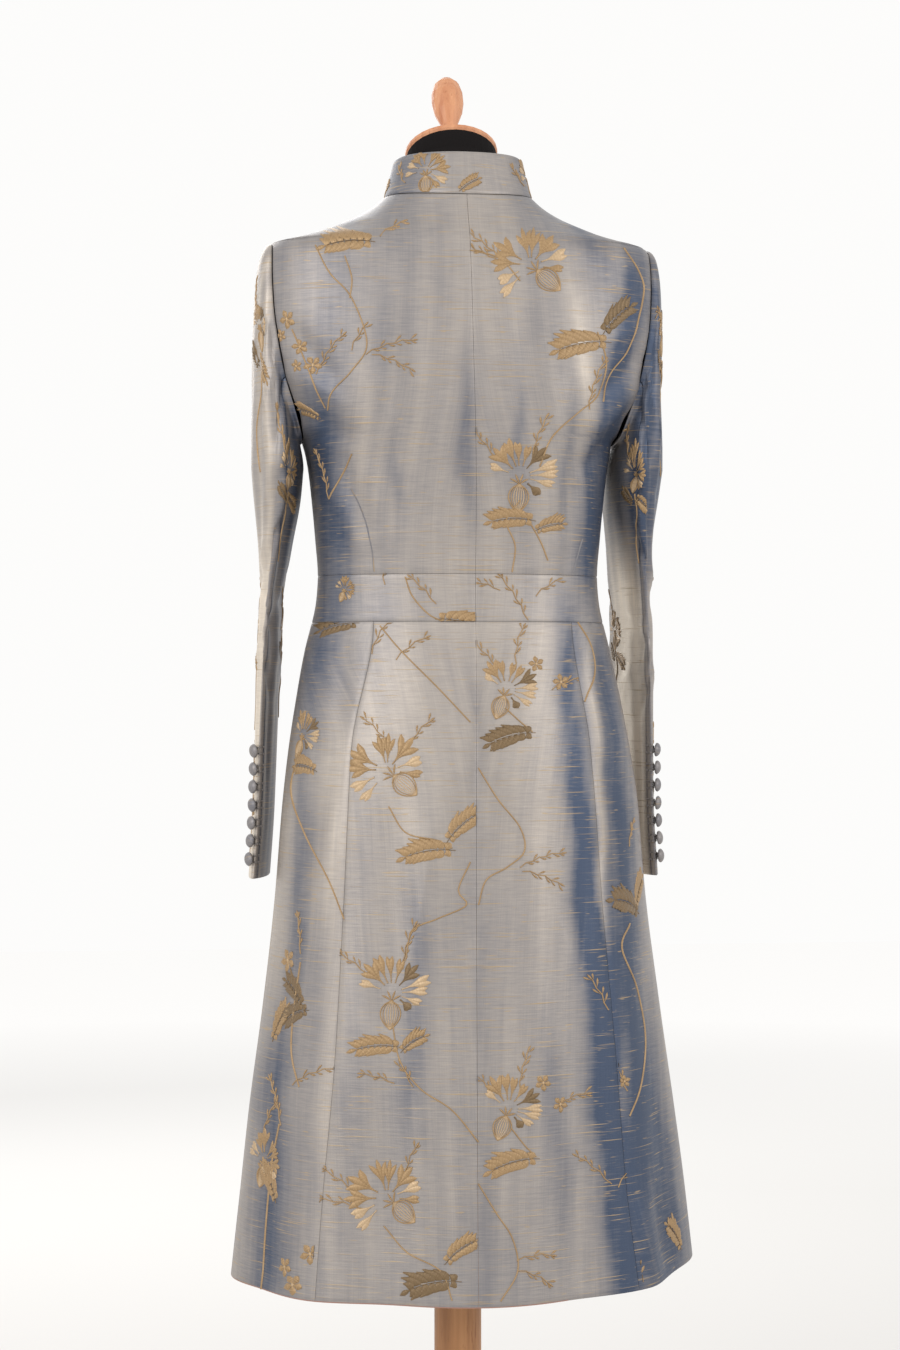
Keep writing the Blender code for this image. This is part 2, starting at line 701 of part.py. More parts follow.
def make_front_closure(left_rows, right_rows):
    """The front's buttons on the left edge, and the loops that reach them from the right edge."""
    placket, edge = rail(left_rows, -2), rail(left_rows, -1)
    root, right_edge = rail(right_rows, -2), rail(right_rows, -1)
    up, outward = Vector((0, 0, 1)), Vector((0, -1, 0))
    heights = [LOWEST_FRONT_BUTTON_Z + FRONT_PITCH * step for step in range(FRONT_BUTTONS)]
    for number, height in enumerate(heights, start=1):
        seat = edge(height).lerp(placket(height), FRONT_BUTTON_SEAT)
        run = edge(height + 0.01) - edge(height - 0.01)
        normal = facing(edge(height), placket(height), run, outward)
        set_button(f"front_button_{number}", seat, normal)

    def near_root(height):
        return right_edge(height).lerp(root(height), FRONT_BUTTON_SEAT)

    def middle(height):
        return (edge(height) + right_edge(height)) / 2
    creases = [row[-1].z for row in left_rows]
    loop_strip("front_loops", (near_root, middle, placket), outward, heights, creases)


def form_point(angle, level):
    ease = ease_at(level)
    inward = CLOTH + ease.around + ease.side * abs(math.sin(angle)) ** 4
    if math.cos(angle) < 0:
        inward += ease.front * math.cos(angle) ** 2
    ring = coat_ring(level)
    point = coat_point(angle, level)
    bare = Vector((point.x - ring.mid, point.y, point.z))
    swell = 1 + wave_swell(angle, level) / ring.half
    smooth = Vector((ring.mid + bare.x / swell, bare.y / swell, bare.z))
    return smooth - coat_normal(angle, level) * inward


def make_form():
    """The limbless form: torso and neck in one closed solid, flat underneath."""
    angles = spread(0, 2 * math.pi, FORM_COLUMNS)[:-1]
    levels = FORM_LEVELS + SHOULDER_LEVELS
    rows = [[form_point(angle, level) for angle in angles] for level in levels]
    for point in rows[0]:
        point.z = FORM_BOTTOM_Z
        point.xy *= FORM_BOTTOM_SCALE
    for neck in NECK:
        tilt = Matrix.Rotation(math.radians(neck.tilt), 3, "X")
        centre = Vector((*(CAP_CENTRE.xy * neck.shift), neck.level))
        rows.append([centre + tilt @ (neck.radius * Vector((math.sin(a), math.cos(a), 0)))
                     for a in angles])
    count = len(angles)
    vertices = [point for row in rows for point in row]
    faces = []
    for row in range(len(rows) - 1):
        for column in range(count):
            after = (column + 1) % count
            a, b = row * count + column, row * count + after
            c, d = b + count, a + count
            faces += [(a, b, c), (a, c, d)]
    for row, outward in ((0, 1), (len(rows) - 1, -1)):
        middle = len(vertices)
        ends = rows[row]
        vertices.append(sum(ends, Vector()) / count)
        for column in range(count):
            a, b = row * count + column, row * count + (column + 1) % count
            faces.append((a, b, middle) if outward > 0 else (b, a, middle))
    return add_solid("dress_form", vertices, faces, BLACK_CLOTH)


def make_stand():
    """Neck cap and finial, tilted as the neck is, and the post in its turned base."""
    tilt = Matrix.Rotation(CAP_TILT, 4, "X")
    seat = CAP_CENTRE + tilt.to_3x3() @ Vector((0, 0, SEAM_GAP))
    turned("neck_cap", CAP_PROFILE, SCREW_SIDES, WOOD, Matrix.Translation(seat) @ tilt)
    above = seat + tilt.to_3x3() @ Vector((0, 0, CAP_THICKNESS + SEAM_GAP))
    turned("finial", FINIAL_PROFILE, FINIAL_SIDES, WOOD, Matrix.Translation(above) @ tilt)
    turned("stand_base", BASE_PROFILE, SCREW_SIDES, WOOD)
    low, high = BASE_HEIGHT + SEAM_GAP, FORM_BOTTOM_Z - SEAM_GAP
    bpy.ops.mesh.primitive_cylinder_add(
        vertices=SCREW_SIDES, radius=POST_RADIUS, depth=high - low,
        location=(0, 0, (low + high) / 2))
    post = bpy.context.object
    post.name = post.data.name = "post"
    post.data.materials.append(material_of("post", WOOD))
    post.data.shade_smooth()
    post.data.set_sharp_from_angle(angle=math.radians(50))
    for home in list(post.users_collection):
        home.objects.unlink(post)
    collection_of("coat_on_form").objects.link(post)


def build():
    for old in list(bpy.data.objects):
        bpy.data.objects.remove(old, do_unlink=True)
    fronts = {}
    for side, hand in ((1, "left"), (-1, "right")):
        fronts[hand] = make_bodice(side, hand)
        make_waistband(side, hand)
        make_skirt(side, hand)
        make_cuff_closure(make_sleeve(side, hand), side, hand)
    make_front_closure(fronts["left"], fronts["right"])
    make_collar()
    make_form()
    make_stand()


build()
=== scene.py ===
import math
import random
from collections import namedtuple
from functools import lru_cache, partial
from itertools import accumulate

import bmesh
import bpy
import numpy as np
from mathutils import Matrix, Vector


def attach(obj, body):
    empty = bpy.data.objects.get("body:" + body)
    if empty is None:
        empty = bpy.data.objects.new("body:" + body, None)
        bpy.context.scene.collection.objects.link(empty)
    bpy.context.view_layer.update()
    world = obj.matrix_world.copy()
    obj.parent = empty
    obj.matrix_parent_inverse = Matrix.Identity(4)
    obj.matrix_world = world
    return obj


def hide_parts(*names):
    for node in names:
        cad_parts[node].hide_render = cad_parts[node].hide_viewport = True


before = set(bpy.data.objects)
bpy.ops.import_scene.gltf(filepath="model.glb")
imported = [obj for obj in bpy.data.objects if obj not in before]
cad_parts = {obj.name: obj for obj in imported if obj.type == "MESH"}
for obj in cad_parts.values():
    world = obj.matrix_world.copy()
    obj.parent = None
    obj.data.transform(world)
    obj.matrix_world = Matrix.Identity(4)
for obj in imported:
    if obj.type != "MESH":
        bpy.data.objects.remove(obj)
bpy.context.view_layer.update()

# Camera, level and behind the coat, its yaw towards the wearer's left
PHOTO_WIDTH, PHOTO_HEIGHT = 900, 1350
CAMERA_DISTANCE = 2.8
CAMERA_Z = 0.955
CAMERA_YAW = math.radians(7)
AXIS_X = 457.8
METRES_PER_PIXEL = 0.001
TOWARDS_CAMERA = Vector((math.sin(CAMERA_YAW), math.cos(CAMERA_YAW), 0))
PHOTO_RIGHT = Vector((-math.cos(CAMERA_YAW), math.sin(CAMERA_YAW), 0))

# The coat's main sizes, as its solids have them
SHELL = 0.0013
SEAM_GAP = 0.0003
HEM_Z = 0.360
WAIST_LOW_Z = 1.007
WAIST_HIGH_Z = 1.053
UNDERARM_Z = 1.185
SHOULDER_Z = 1.381
NECKLINE_Z = 1.4305
COLLAR_HEIGHT = 0.043
COLLAR_SIDE_DROP = 0.008
COLLAR_LEAN = 0.0115
COLLAR_FRONT_LEAN = 0.35
COLLAR_FRONT_GAP = math.radians(5)
CUFF_Z = 0.752
SLEEVE_TOP_Z = 1.160
BUTTON_PITCH = 0.018
CUFF_BUTTONS = 7
LOWEST_CUFF_BUTTON_Z = 0.772
FRONT_BUTTONS = 8
FRONT_PITCH = 0.036
LOWEST_FRONT_BUTTON_Z = 1.083
SIDES = ((1, "left"), (-1, "right"))

# How the shell is drawn: rolls of its edges, and the close pair of columns at a seam
SEAM_ROLL = 0.0005
SLEEVE_ROLL = 0.0008
SEAM_PAIR = 0.0016
TYPICAL_REACH = 0.15
SEAM_STEP = 0.0015
HEM_EDGE = 0.0012

# Metres of weave to a radian of the body's, the collar's and the sleeve's turn
BODY_WEAVE = 0.7
COLLAR_WEAVE = 0.07
SLEEVE_WEAVE = 0.035

Ring = namedtuple("Ring", "level half back front mid square back_rise front_rise")
COAT_RINGS = [Ring(*row) for row in (
    (0.36, 0.2285, 0.169, 0.165, -0.006, 2, 0, 0), (0.43, 0.2215, 0.161, 0.157, -0.006, 2, 0, 0),
    (0.53, 0.2105, 0.152, 0.148, -0.005, 2, 0, 0), (0.63, 0.1975, 0.143, 0.139, -0.0045, 2, 0, 0),
    (0.73, 0.186, 0.134, 0.13, -0.0035, 2, 0, 0), (0.83, 0.178, 0.126, 0.122, -0.003, 2, 0, 0),
    (0.88, 0.1715, 0.12, 0.116, -0.002, 2, 0, 0), (0.93, 0.163, 0.112, 0.11, -0.001, 2, 0, 0),
    (0.98, 0.153, 0.102, 0.104, 0, 2, 0, 0), (1.03, 0.1415, 0.093, 0.099, 0, 2.1, 0, 0),
    (1.053, 0.14, 0.0915, 0.0985, 0, 2.1, 0, 0), (1.09, 0.1425, 0.094, 0.106, 0, 2.2, 0, 0),
    (1.13, 0.146, 0.099, 0.12, 0, 2.3, 0, 0), (1.16, 0.1495, 0.103, 0.1285, 0, 2.3, 0, 0),
    (1.185, 0.155, 0.106, 0.131, 0, 2.4, 0, 0), (1.195, 0.164, 0.107, 0.131, 0, 2.4, 0, 0),
    (1.213, 0.1735, 0.1085, 0.129, 0, 2.4, 0, 0), (1.245, 0.187, 0.1095, 0.125, 0, 2.4, 0, -0.002),
    (1.283, 0.1965, 0.109, 0.118, 0, 2.4, 0, -0.006), (1.32, 0.2, 0.1065, 0.109, 0, 2.4, 0, -0.012),
    (1.352, 0.1985, 0.102, 0.0995, 0, 2.4, 0, -0.019), (1.3735, 0.194, 0.097, 0.092, 0, 2.4, 0, -0.026),
    (1.381, 0.187, 0.0945, 0.089, 0, 2.3, 0, -0.029), (1.3855, 0.167, 0.092, 0.0865, 0, 2.3, 0, -0.031),
    (1.391, 0.148, 0.0885, 0.084, 0, 2.2, -0.0003, -0.033),
    (1.399, 0.127, 0.084, 0.0815, 0, 2.1, -0.001, -0.036),
    (1.409, 0.104, 0.0795, 0.079, 0, 2, -0.002, -0.039),
    (1.419, 0.087, 0.0755, 0.0765, 0, 2, -0.004, -0.042),
    (1.4305, 0.0735, 0.0725, 0.0735, 0, 2, -0.0065, -0.045),
)]

Armhole = namedtuple("Armhole", "level reach")
ARMHOLE = [Armhole(*row) for row in (
    (1.185, 0.155), (1.195, 0.159), (1.213, 0.1645), (1.245, 0.1745), (1.283, 0.1825), (1.32, 0.187),
    (1.352, 0.188), (1.3735, 0.1875), (1.381, 0.187),
)]

SkirtSeams = namedtuple("SkirtSeams", "level centre_back left right")
SKIRT_SEAMS = [SkirtSeams(*row) for row in (
    (0.36, 0.0015, 0.15, -0.1565), (0.465, 0.001, 0.142, -0.146), (0.59, 0, 0.131, -0.1385),
    (0.725, -0.001, 0.123, -0.129), (0.885, -0.003, 0.1145, -0.1195), (1.007, -0.0055, 0.092, -0.104),
    (1.09, -0.006, 0.092, -0.104), (1.3, -0.001, 0.092, -0.104), (1.381, 0, 0.092, -0.104),
    (1.4305, 0, 0.06, -0.06),
)]

Wave = namedtuple("Wave", "angle width swell")
WAVES = [Wave(*row) for row in (
    (0, 12, 0.005), (25, 11, -0.009), (45, 9, 0.005), (68, 10, -0.005), (92, 11, 0.004),
    (117, 11, -0.007), (139, 10, 0.005), (160, 10, -0.005), (-24, 10, -0.008), (-44, 9, 0.006),
    (-66, 10, -0.005), (-90, 11, 0.003), (-115, 10, -0.007), (-138, 10, 0.006), (-161, 9, -0.004),
)]
WAVE_TOP_Z = 0.860
RIGHT_HEM_LIFT = 0.012
RIGHT_LIFT_TOP_Z = 0.560

Section = namedtuple("Section", "level out forward depth thick turn")
SLEEVE = [Section(*row) for row in (
    (0.752, 0.195, 0.061, 0.052, 0.0095, 10), (0.82, 0.1905, 0.06, 0.053, 0.0095, 10),
    (0.9, 0.188, 0.057, 0.055, 0.01, 10), (0.98, 0.1855, 0.052, 0.057, 0.0105, 9),
    (1.03, 0.183, 0.049, 0.06, 0.0115, 8), (1.08, 0.1805, 0.038, 0.063, 0.0165, 6),
    (1.13, 0.179, 0.025, 0.069, 0.0235, 4), (1.16, 0.1795, 0.016, 0.072, 0.0262, 3),
)]
SLEEVE_SQUARE = 1.8
BACK_SEAM_TURN = math.radians(112.5)
FRONT_SEAM_TURN = math.radians(270)
HEAD_OUT = 0.006
HEAD_OUT_ABOVE = 0.010
HEAD_FALL = 0.77
HEAD_ROWS = 22
ARM_ROWS = 60

# Creases of the body's cloth: from and to (sideways and height), half width and depth
Crease = namedtuple("Crease", "x z to_x to_z width depth")
CREASES = {
    "back": [Crease(*row) for row in (
        (0.112, 1.135, 0.086, 1.056, 0.005, -0.0016), (-0.108, 1.135, -0.099, 1.056, 0.005, -0.0016),
        (0.166, 1.212, 0.116, 1.186, 0.009, -0.0036), (0.17, 1.25, 0.122, 1.214, 0.008, 0.003),
        (0.172, 1.29, 0.132, 1.244, 0.009, -0.0026), (-0.164, 1.208, -0.12, 1.16, 0.009, -0.004),
        (-0.172, 1.24, -0.126, 1.196, 0.009, 0.0034), (-0.174, 1.27, -0.132, 1.232, 0.008, -0.0034),
        (-0.178, 1.3, -0.142, 1.284, 0.009, 0.002), (-0.18, 1.33, -0.148, 1.318, 0.009, -0.0018),
        (0.06, 1.3, 0.05, 1.12, 0.014, -0.0018), (-0.052, 1.31, -0.06, 1.14, 0.015, -0.002),
        (0.04, 1.23, 0.032, 1.11, 0.008, -0.0013), (-0.02, 1.24, -0.028, 1.13, 0.007, -0.0012),
        (0.085, 1.22, 0.07, 1.11, 0.009, -0.0016), (-0.085, 1.23, -0.075, 1.12, 0.009, 0.0014),
        (0.122, 1.165, 0.096, 1.1, 0.008, -0.002), (0.13, 1.135, 0.104, 1.078, 0.007, 0.0018),
        (-0.11, 1.17, -0.092, 1.095, 0.008, -0.0018), (-0.185, 0.45, -0.198, 0.372, 0.01, -0.003),
        (-0.165, 0.44, -0.176, 0.366, 0.01, 0.0026), (-0.203, 0.48, -0.214, 0.39, 0.008, 0.002),
        (0.03, 1.375, 0.12, 1.352, 0.01, -0.0012), (-0.03, 1.372, -0.125, 1.345, 0.011, -0.0014),
        (0.12, 1, 0.126, 0.9, 0.01, -0.0018), (-0.118, 1.003, -0.132, 0.88, 0.007, 0.0026),
        (-0.132, 1.003, -0.15, 0.9, 0.008, -0.0022), (0.02, 1, 0.028, 0.86, 0.02, -0.0012),
        (-0.05, 1, -0.062, 0.84, 0.018, 0.001), (0.075, 0.86, 0.088, 0.42, 0.016, -0.002),
        (0.045, 0.8, 0.056, 0.38, 0.014, 0.0018), (-0.085, 0.83, -0.104, 0.39, 0.015, -0.0022),
        (-0.06, 0.78, -0.07, 0.37, 0.014, 0.0016), (0.01, 0.76, 0.012, 0.37, 0.008, 0.0012),
        (0.168, 0.76, 0.196, 0.38, 0.012, -0.0024), (-0.168, 0.8, -0.2, 0.39, 0.012, -0.0024),
    )],
    "front": [Crease(*row) for row in (
        (0.112, 1.15, 0.072, 1.056, 0.0035, -0.0016), (-0.112, 1.15, -0.072, 1.056, 0.0035, -0.0016),
        (0.166, 1.215, 0.1, 1.195, 0.012, -0.0024), (-0.166, 1.218, -0.104, 1.19, 0.011, -0.0026),
        (0.172, 1.26, 0.125, 1.23, 0.01, 0.002), (-0.172, 1.258, -0.122, 1.236, 0.01, 0.0022),
        (0.08, 0.86, 0.094, 0.4, 0.016, -0.0022), (-0.078, 0.84, -0.09, 0.39, 0.016, -0.0022),
        (0.045, 0.8, 0.052, 0.38, 0.014, 0.0016), (-0.04, 0.82, -0.05, 0.38, 0.014, 0.0018),
    )],
}

# Bands of painted sheen and shade, where the shot cloth turns blue (positive) or pale (negative), by
# sideways place
SheenBand = namedtuple("SheenBand", "low high x to_x width blue")
SHEEN_BANDS = [SheenBand(*row) for row in (
    (1.06, 1.22, 0.122, 0.146, 0.019, 0.62), (1.06, 1.2, -0.122, -0.142, 0.016, 0.85),
    (1.16, 1.36, -0.136, -0.168, 0.014, 0.85), (1.06, 1.22, 0.1, 0.104, 0.006, -0.15),
    (1.22, 1.33, -0.118, -0.098, 0.009, -0.4), (1.2, 1.37, 0.132, 0.128, 0.024, 0.2),
    (1.12, 1.24, 0.004, 0.002, 0.009, 0.45), (1.16, 1.25, -0.044, -0.048, 0.006, 0.26),
    (1.13, 1.25, -0.094, -0.1, 0.006, 0.34), (1.1, 1.18, 0.07, 0.074, 0.006, 0.28),
    (1.22, 1.32, 0.094, 0.088, 0.008, 0.22), (1.22, 1.4, 0.06, 0.07, 0.022, 0.1),
    (1.24, 1.42, -0.05, -0.08, 0.028, 0.08), (1.34, 1.42, -0.135, -0.11, 0.02, 0.35),
    (1.3, 1.42, 0.03, 0.028, 0.016, 0.15), (1.07, 1.2, -0.05, -0.056, 0.012, 0.18),
    (1.08, 1.18, 0.06, 0.066, 0.01, 0.12), (0.42, 0.62, -0.086, -0.07, 0.014, 0.24),
    (0.92, 1.01, 0.154, 0.138, 0.024, 0.74), (0.94, 1.01, 0.1, 0.088, 0.026, 0.26),
    (0.66, 0.9, 0.166, 0.158, 0.01, 0.42), (0.36, 0.6, 0.198, 0.184, 0.015, 0.42),
    (0.36, 0.9, 0.142, 0.128, 0.012, -0.22), (0.54, 0.76, 0.06, 0.058, 0.012, 0.4),
    (0.36, 0.95, -0.004, -0.002, 0.007, 0.2), (0.7, 1, -0.112, -0.096, 0.014, 0.9),
    (0.36, 0.72, -0.146, -0.12, 0.017, 0.9), (0.36, 0.98, -0.182, -0.136, 0.018, 0.62),
    (0.36, 0.52, -0.205, -0.19, 0.02, 0.42), (0.7, 0.96, -0.133, -0.122, 0.005, -0.6),
)]

random.seed(11)


class Profile:
    """The named columns of a table as smooth curves over its first column, with no overshoot."""

    def __init__(self, rows):
        self.row = type(rows[0])
        self.at = np.array([row[0] for row in rows], dtype=float)
        self.values = np.array([row[1:] for row in rows], dtype=float)
        rise = np.diff(self.values, axis=0) / np.diff(self.at)[:, None]
        below, above = rise[:-1], rise[1:]
        same_way = below * above > 0
        total = np.where(same_way, below + above, 1.0)
        inner = np.where(same_way, 2 * below * above / total, 0.0)
        self.slopes = np.vstack([rise[:1], inner, rise[-1:]])

    @lru_cache(maxsize=None)
    def __call__(self, level):
        level = min(max(level, self.at[0]), self.at[-1])
        low = min(int(np.searchsorted(self.at, level, side="right")) - 1, len(self.at) - 2)
        span = self.at[low + 1] - self.at[low]
        t = (level - self.at[low]) / span
        start = (1 + 2 * t) * (1 - t) ** 2 * self.values[low]
        start = start + t * (1 - t) ** 2 * span * self.slopes[low]
        end = t * t * (3 - 2 * t) * self.values[low + 1]
        end = end + t * t * (t - 1) * span * self.slopes[low + 1]
        return self.row(level, *(start + end))


coat_ring = Profile(COAT_RINGS)
armhole_at = Profile(ARMHOLE)
seams_at = Profile(SKIRT_SEAMS)
sleeve_section = Profile(SLEEVE)


def spread(start, end, count):
    return [start + (end - start) * step / count for step in range(count + 1)]


def wave_swell(angle, level):
    """How far the skirt's soft waves push the cloth out."""
    strength = max(0.0, (WAVE_TOP_Z - level) / (WAVE_TOP_Z - HEM_Z)) ** 1.2
    if strength == 0:
        return 0.0
    total = 0.0
    for wave in WAVES:
        turn = math.remainder(angle - math.radians(wave.angle), math.tau)
        total += wave.swell * math.exp(-(turn / math.radians(wave.width)) ** 2)
    return total * strength


def coat_point(angle, level):
    """A point of the cloth's outer face; the angle runs from the centre back to the left side."""
    ring = coat_ring(level)
    sine, cosine = math.sin(angle), math.cos(angle)
    square = ring.square
    reach = (abs(sine) ** square + abs(cosine) ** square) ** (-1 / square)
    reach *= 1 + wave_swell(angle, level) / ring.half
    depth, rise = (ring.back, ring.back_rise) if cosine > 0 else (ring.front, ring.front_rise)
    lift = RIGHT_HEM_LIFT * max(0.0, (RIGHT_LIFT_TOP_Z - level) / (RIGHT_LIFT_TOP_Z - HEM_Z))
    height = level + rise * cosine ** 2 + lift * max(0.0, -sine) ** 3
    return Vector((ring.mid + ring.half * sine * reach, depth * cosine * reach, height))


def coat_normal(angle, level):
    """The outward direction of the cloth at a point."""
    step, rise = 0.01, 0.0008
    low, high = max(level - rise, HEM_Z), min(level + rise, NECKLINE_Z)
    along = coat_point(angle + step, level) - coat_point(angle - step, level)
    up = coat_point(angle, high) - coat_point(angle, low)
    return up.cross(along).normalized()


def angle_at(x, level):
    """The back half's angle at which the ring reaches a sideways place."""
    ring = coat_ring(level)
    share = min(abs(x - ring.mid) / ring.half, 1.0) ** ring.square
    if share > 0.999999:
        return math.copysign(math.pi / 2, x)
    return math.copysign(math.atan((share / (1 - share)) ** (1 / ring.square)), x - ring.mid)


def side_angle(level):
    """The angle of the side seam, then the armhole's back edge, then the shoulder seam."""
    if level <= UNDERARM_Z or level >= SHOULDER_Z:
        return math.pi / 2
    return angle_at(armhole_at(level).reach, level)


def back_edges(side, level):
    centre = angle_at(seams_at(level).centre_back, level) if level < SHOULDER_Z else 0.0
    return centre, side * side_angle(level)


def front_edges(side, level):
    return side * (math.pi - side_angle(level)), side * math.pi


def gore_edges(side, level):
    """Angles of the skirt's seams on one side, from the centre back to the centre front."""
    seams = seams_at(level)
    princess = angle_at(seams.left if side > 0 else seams.right, level)
    centre = angle_at(seams.centre_back, level)
    return [centre, princess, side * math.pi / 2, side * math.pi - princess, side * math.pi]


def crease_depth(point, back):
    """How far the hand-placed creases push the cloth in or out at a point."""
    total = 0.0
    for crease in CREASES["back" if back else "front"]:
        run_x, run_z = crease.to_x - crease.x, crease.to_z - crease.z
        length = run_x * run_x + run_z * run_z
        t = ((point.x - crease.x) * run_x + (point.z - crease.z) * run_z) / length
        if t < -0.2 or t > 1.2:
            continue
        inside = min(max(t, 0.0), 1.0)
        away_x = point.x - crease.x - inside * run_x
        away_z = point.z - crease.z - inside * run_z
        away = (away_x * away_x + away_z * away_z) / crease.width ** 2
        if away < 9:
            total += crease.depth * math.exp(-away) * math.sin(math.pi * (t + 0.2) / 1.4) ** 0.6
    return total


def cloth_point(angle, level):
    """A point of the dressed cloth and its outward direction."""
    point = coat_point(angle, level)
    normal = coat_normal(angle, level)
    return point + normal * crease_depth(point, math.cos(angle) > 0), normal


# Shares of blue: the cloth's own mix everywhere; painted sheen makes more at the sides,
# less along the outline as a painted pale rim, and more down the skirt
BASE_BLUE = 0.17
BODICE_SIDE_SHEEN, SKIRT_LEFT_SHEEN, SKIRT_RIGHT_SHEEN = 0.26, 0.14, 0.34
OUTLINE_SHEEN = 0.30
SKIRT_BLUE_PER_METRE = 0.50
SHEEN_BAND_FADE = 0.05


def blue_and_sheen_at(angle, level):
    """How blue the shot cloth shows: painted sheen and shade from its turn to the side and the listed
    bands.
    """
    point = coat_point(angle, level)
    back = math.cos(angle) > 0
    turned = abs(math.sin(angle)) ** 2.5
    skirt_sheen = SKIRT_LEFT_SHEEN if angle > 0 else SKIRT_RIGHT_SHEEN
    blue = BASE_BLUE + (BODICE_SIDE_SHEEN if level > WAIST_LOW_Z else skirt_sheen) * turned
    blue -= OUTLINE_SHEEN * (max(0.0, abs(math.sin(angle)) - 0.93) / 0.07)
    if level < WAIST_LOW_Z:
        blue += SKIRT_BLUE_PER_METRE * (0.70 - level)
    for band in SHEEN_BANDS:
        if not band.low - SHEEN_BAND_FADE < level < band.high + SHEEN_BAND_FADE:
            continue
        share = min(max((level - band.low) / (band.high - band.low), 0.0), 1.0)
        middle = band.x + (band.to_x - band.x) * share
        middle += 0.0025 * math.sin(level * 27 + band.x * 90) + 0.002 * math.sin(level * 61)
        if not back:
            middle = -middle * 0.96
        inside = min(level - band.low, band.high - level) + SHEEN_BAND_FADE
        fade = min(1.0, inside / 0.08)
        blue += band.blue * fade * math.exp(-((point.x - middle) / band.width) ** 2)
    return min(max(blue, -0.4), 1.0)


class Mesh:
    """Points, faces, places in the weave and shares of blue and painted sheen, gathered into one
    object.
    """

    def __init__(self):
        self.points, self.faces, self.weave, self.blue, self.slots = [], [], [], [], []

    def add(self, points, faces, weave, blue, slot=0):
        start = len(self.points)
        self.points += [tuple(point) for point in points]
        self.faces += [tuple(start + corner for corner in face) for face in faces]
        self.weave += weave
        self.blue += blue
        self.slots += [slot] * len(faces)

    def wall(self, outer, inner, weave, blue):
        """A wall between two grids of points, closed along its edges."""
        rows, columns = len(outer), len(outer[0])
        count = rows * columns
        points = [p for grid in (outer, inner) for row in grid for p in row]
        faces, rim = [], []
        for row in range(rows - 1):
            for a in range(row * columns, (row + 1) * columns - 1):
                b, c, d = a + 1, a + 1 + columns, a + columns
                faces += [(a, d, c, b), (count + a, count + b, count + c, count + d)]
            a, b = row * columns, (row + 1) * columns
            rim += [(a, b), (b + columns - 1, a + columns - 1)]
        for a in range(columns - 1):
            b = (rows - 1) * columns + a
            rim += [(a + 1, a), (b, b + 1)]
        faces += [(a, count + a, count + b, b) for a, b in rim]
        self.add(points, faces, [w for row in weave for w in row] * 2,
                 [s for row in blue for s in row] * 2)

    def make(self, name, materials, crisp=50):
        mesh = bpy.data.meshes.new(name)
        mesh.from_pydata(self.points, [], self.faces)
        layer = mesh.uv_layers.new(name="weave")
        corners = np.empty(len(mesh.loops), dtype=np.int32)
        mesh.loops.foreach_get("vertex_index", corners)
        layer.data.foreach_set("uv", np.array(self.weave, dtype=np.float32)[corners].ravel())
        shade = mesh.attributes.new("blue", "FLOAT", "POINT")
        shade.data.foreach_set("value", np.array(self.blue, dtype=np.float32))
        mesh.polygons.foreach_set("material_index", np.array(self.slots, dtype=np.int32))
        work = bmesh.new()
        work.from_mesh(mesh)
        bmesh.ops.recalc_face_normals(work, faces=work.faces)
        work.to_mesh(mesh)
        work.free()
        mesh.shade_smooth()
        mesh.set_sharp_from_angle(angle=math.radians(crisp))
        for material in materials:
            mesh.materials.append(material)
        made = bpy.data.objects.new(name, mesh)
        bpy.context.scene.collection.objects.link(made)
        return made


class Look:
    """A material in the making, with short ways to add its shader nodes."""

    def __init__(self, name):
        self.material = bpy.data.materials.new(name)
        self.material.use_nodes = True
        self.tree = self.material.node_tree
        self.shader = self.tree.nodes["Principled BSDF"]

    def plug(self, node, sockets):
        """Gives a node's sockets their values or links."""
        for socket, value in sockets.items():
            if isinstance(value, bpy.types.NodeSocket):
                self.tree.links.new(value, node.inputs[socket])
            else:
                node.inputs[socket].default_value = value

    def node(self, kind, sockets=None, output=0, **settings):
        """Adds a node and returns one of its outputs."""
        node = self.tree.nodes.new("ShaderNode" + kind)
        for key, value in settings.items():
            setattr(node, key, value)
        self.plug(node, sockets or {})
        return node.outputs[output]

    def noise(self, place, scale, detail=3.0, roughness=0.6):
        """Noise over places stretched by a scale along each axis."""
        stretched = self.node("Mapping", {"Vector": place, "Scale": scale})
        sockets = {"Vector": stretched, "Scale": 1.0, "Detail": detail, "Roughness": roughness}
        return self.node("TexNoise", sockets, "Fac")

    def ramp(self, value, *stops):
        """Colours by a value, between stops that each have a place and a colour."""
        output = self.node("ValToRGB", {"Fac": value}, "Color")
        elements = output.node.color_ramp.elements
        while len(elements) < len(stops):
            elements.new(0.5)
        for element, (place, colour) in zip(elements, stops):
            element.position = place
            element.color = (*colour, 1)
        return output

    def mix(self, share, first, second, blend="MIX"):
        colours = [value if isinstance(value, bpy.types.NodeSocket) else (*value, 1)
                   for value in (first, second)]
        return self.node("Mix", {0: share, 6: colours[0], 7: colours[1]}, 2,
                         data_type="RGBA", blend_type=blend)

    def calc(self, how, first, second):
        return self.node("Math", {0: first, 1: second}, operation=how)

    def finished(self, colour, height, strength, distance, **values):
        """The material, with its colour, its relief and the shader's other values."""
        relief = {"Height": height, "Strength": strength, "Distance": distance}
        self.plug(self.shader, {"Base Color": colour, "Normal": self.node("Bump", relief)})
        self.plug(self.shader, {key.replace("_", " "): value for key, value in values.items()})
        return self.material


BEIGE = (0.395, 0.352, 0.316)
BLUE = (0.060, 0.080, 0.126)
SHEEN_PALE = (0.860, 0.760, 0.630)
GOLD_SLUB = (0.430, 0.310, 0.175)
SHADOW = (0, 0, 0)


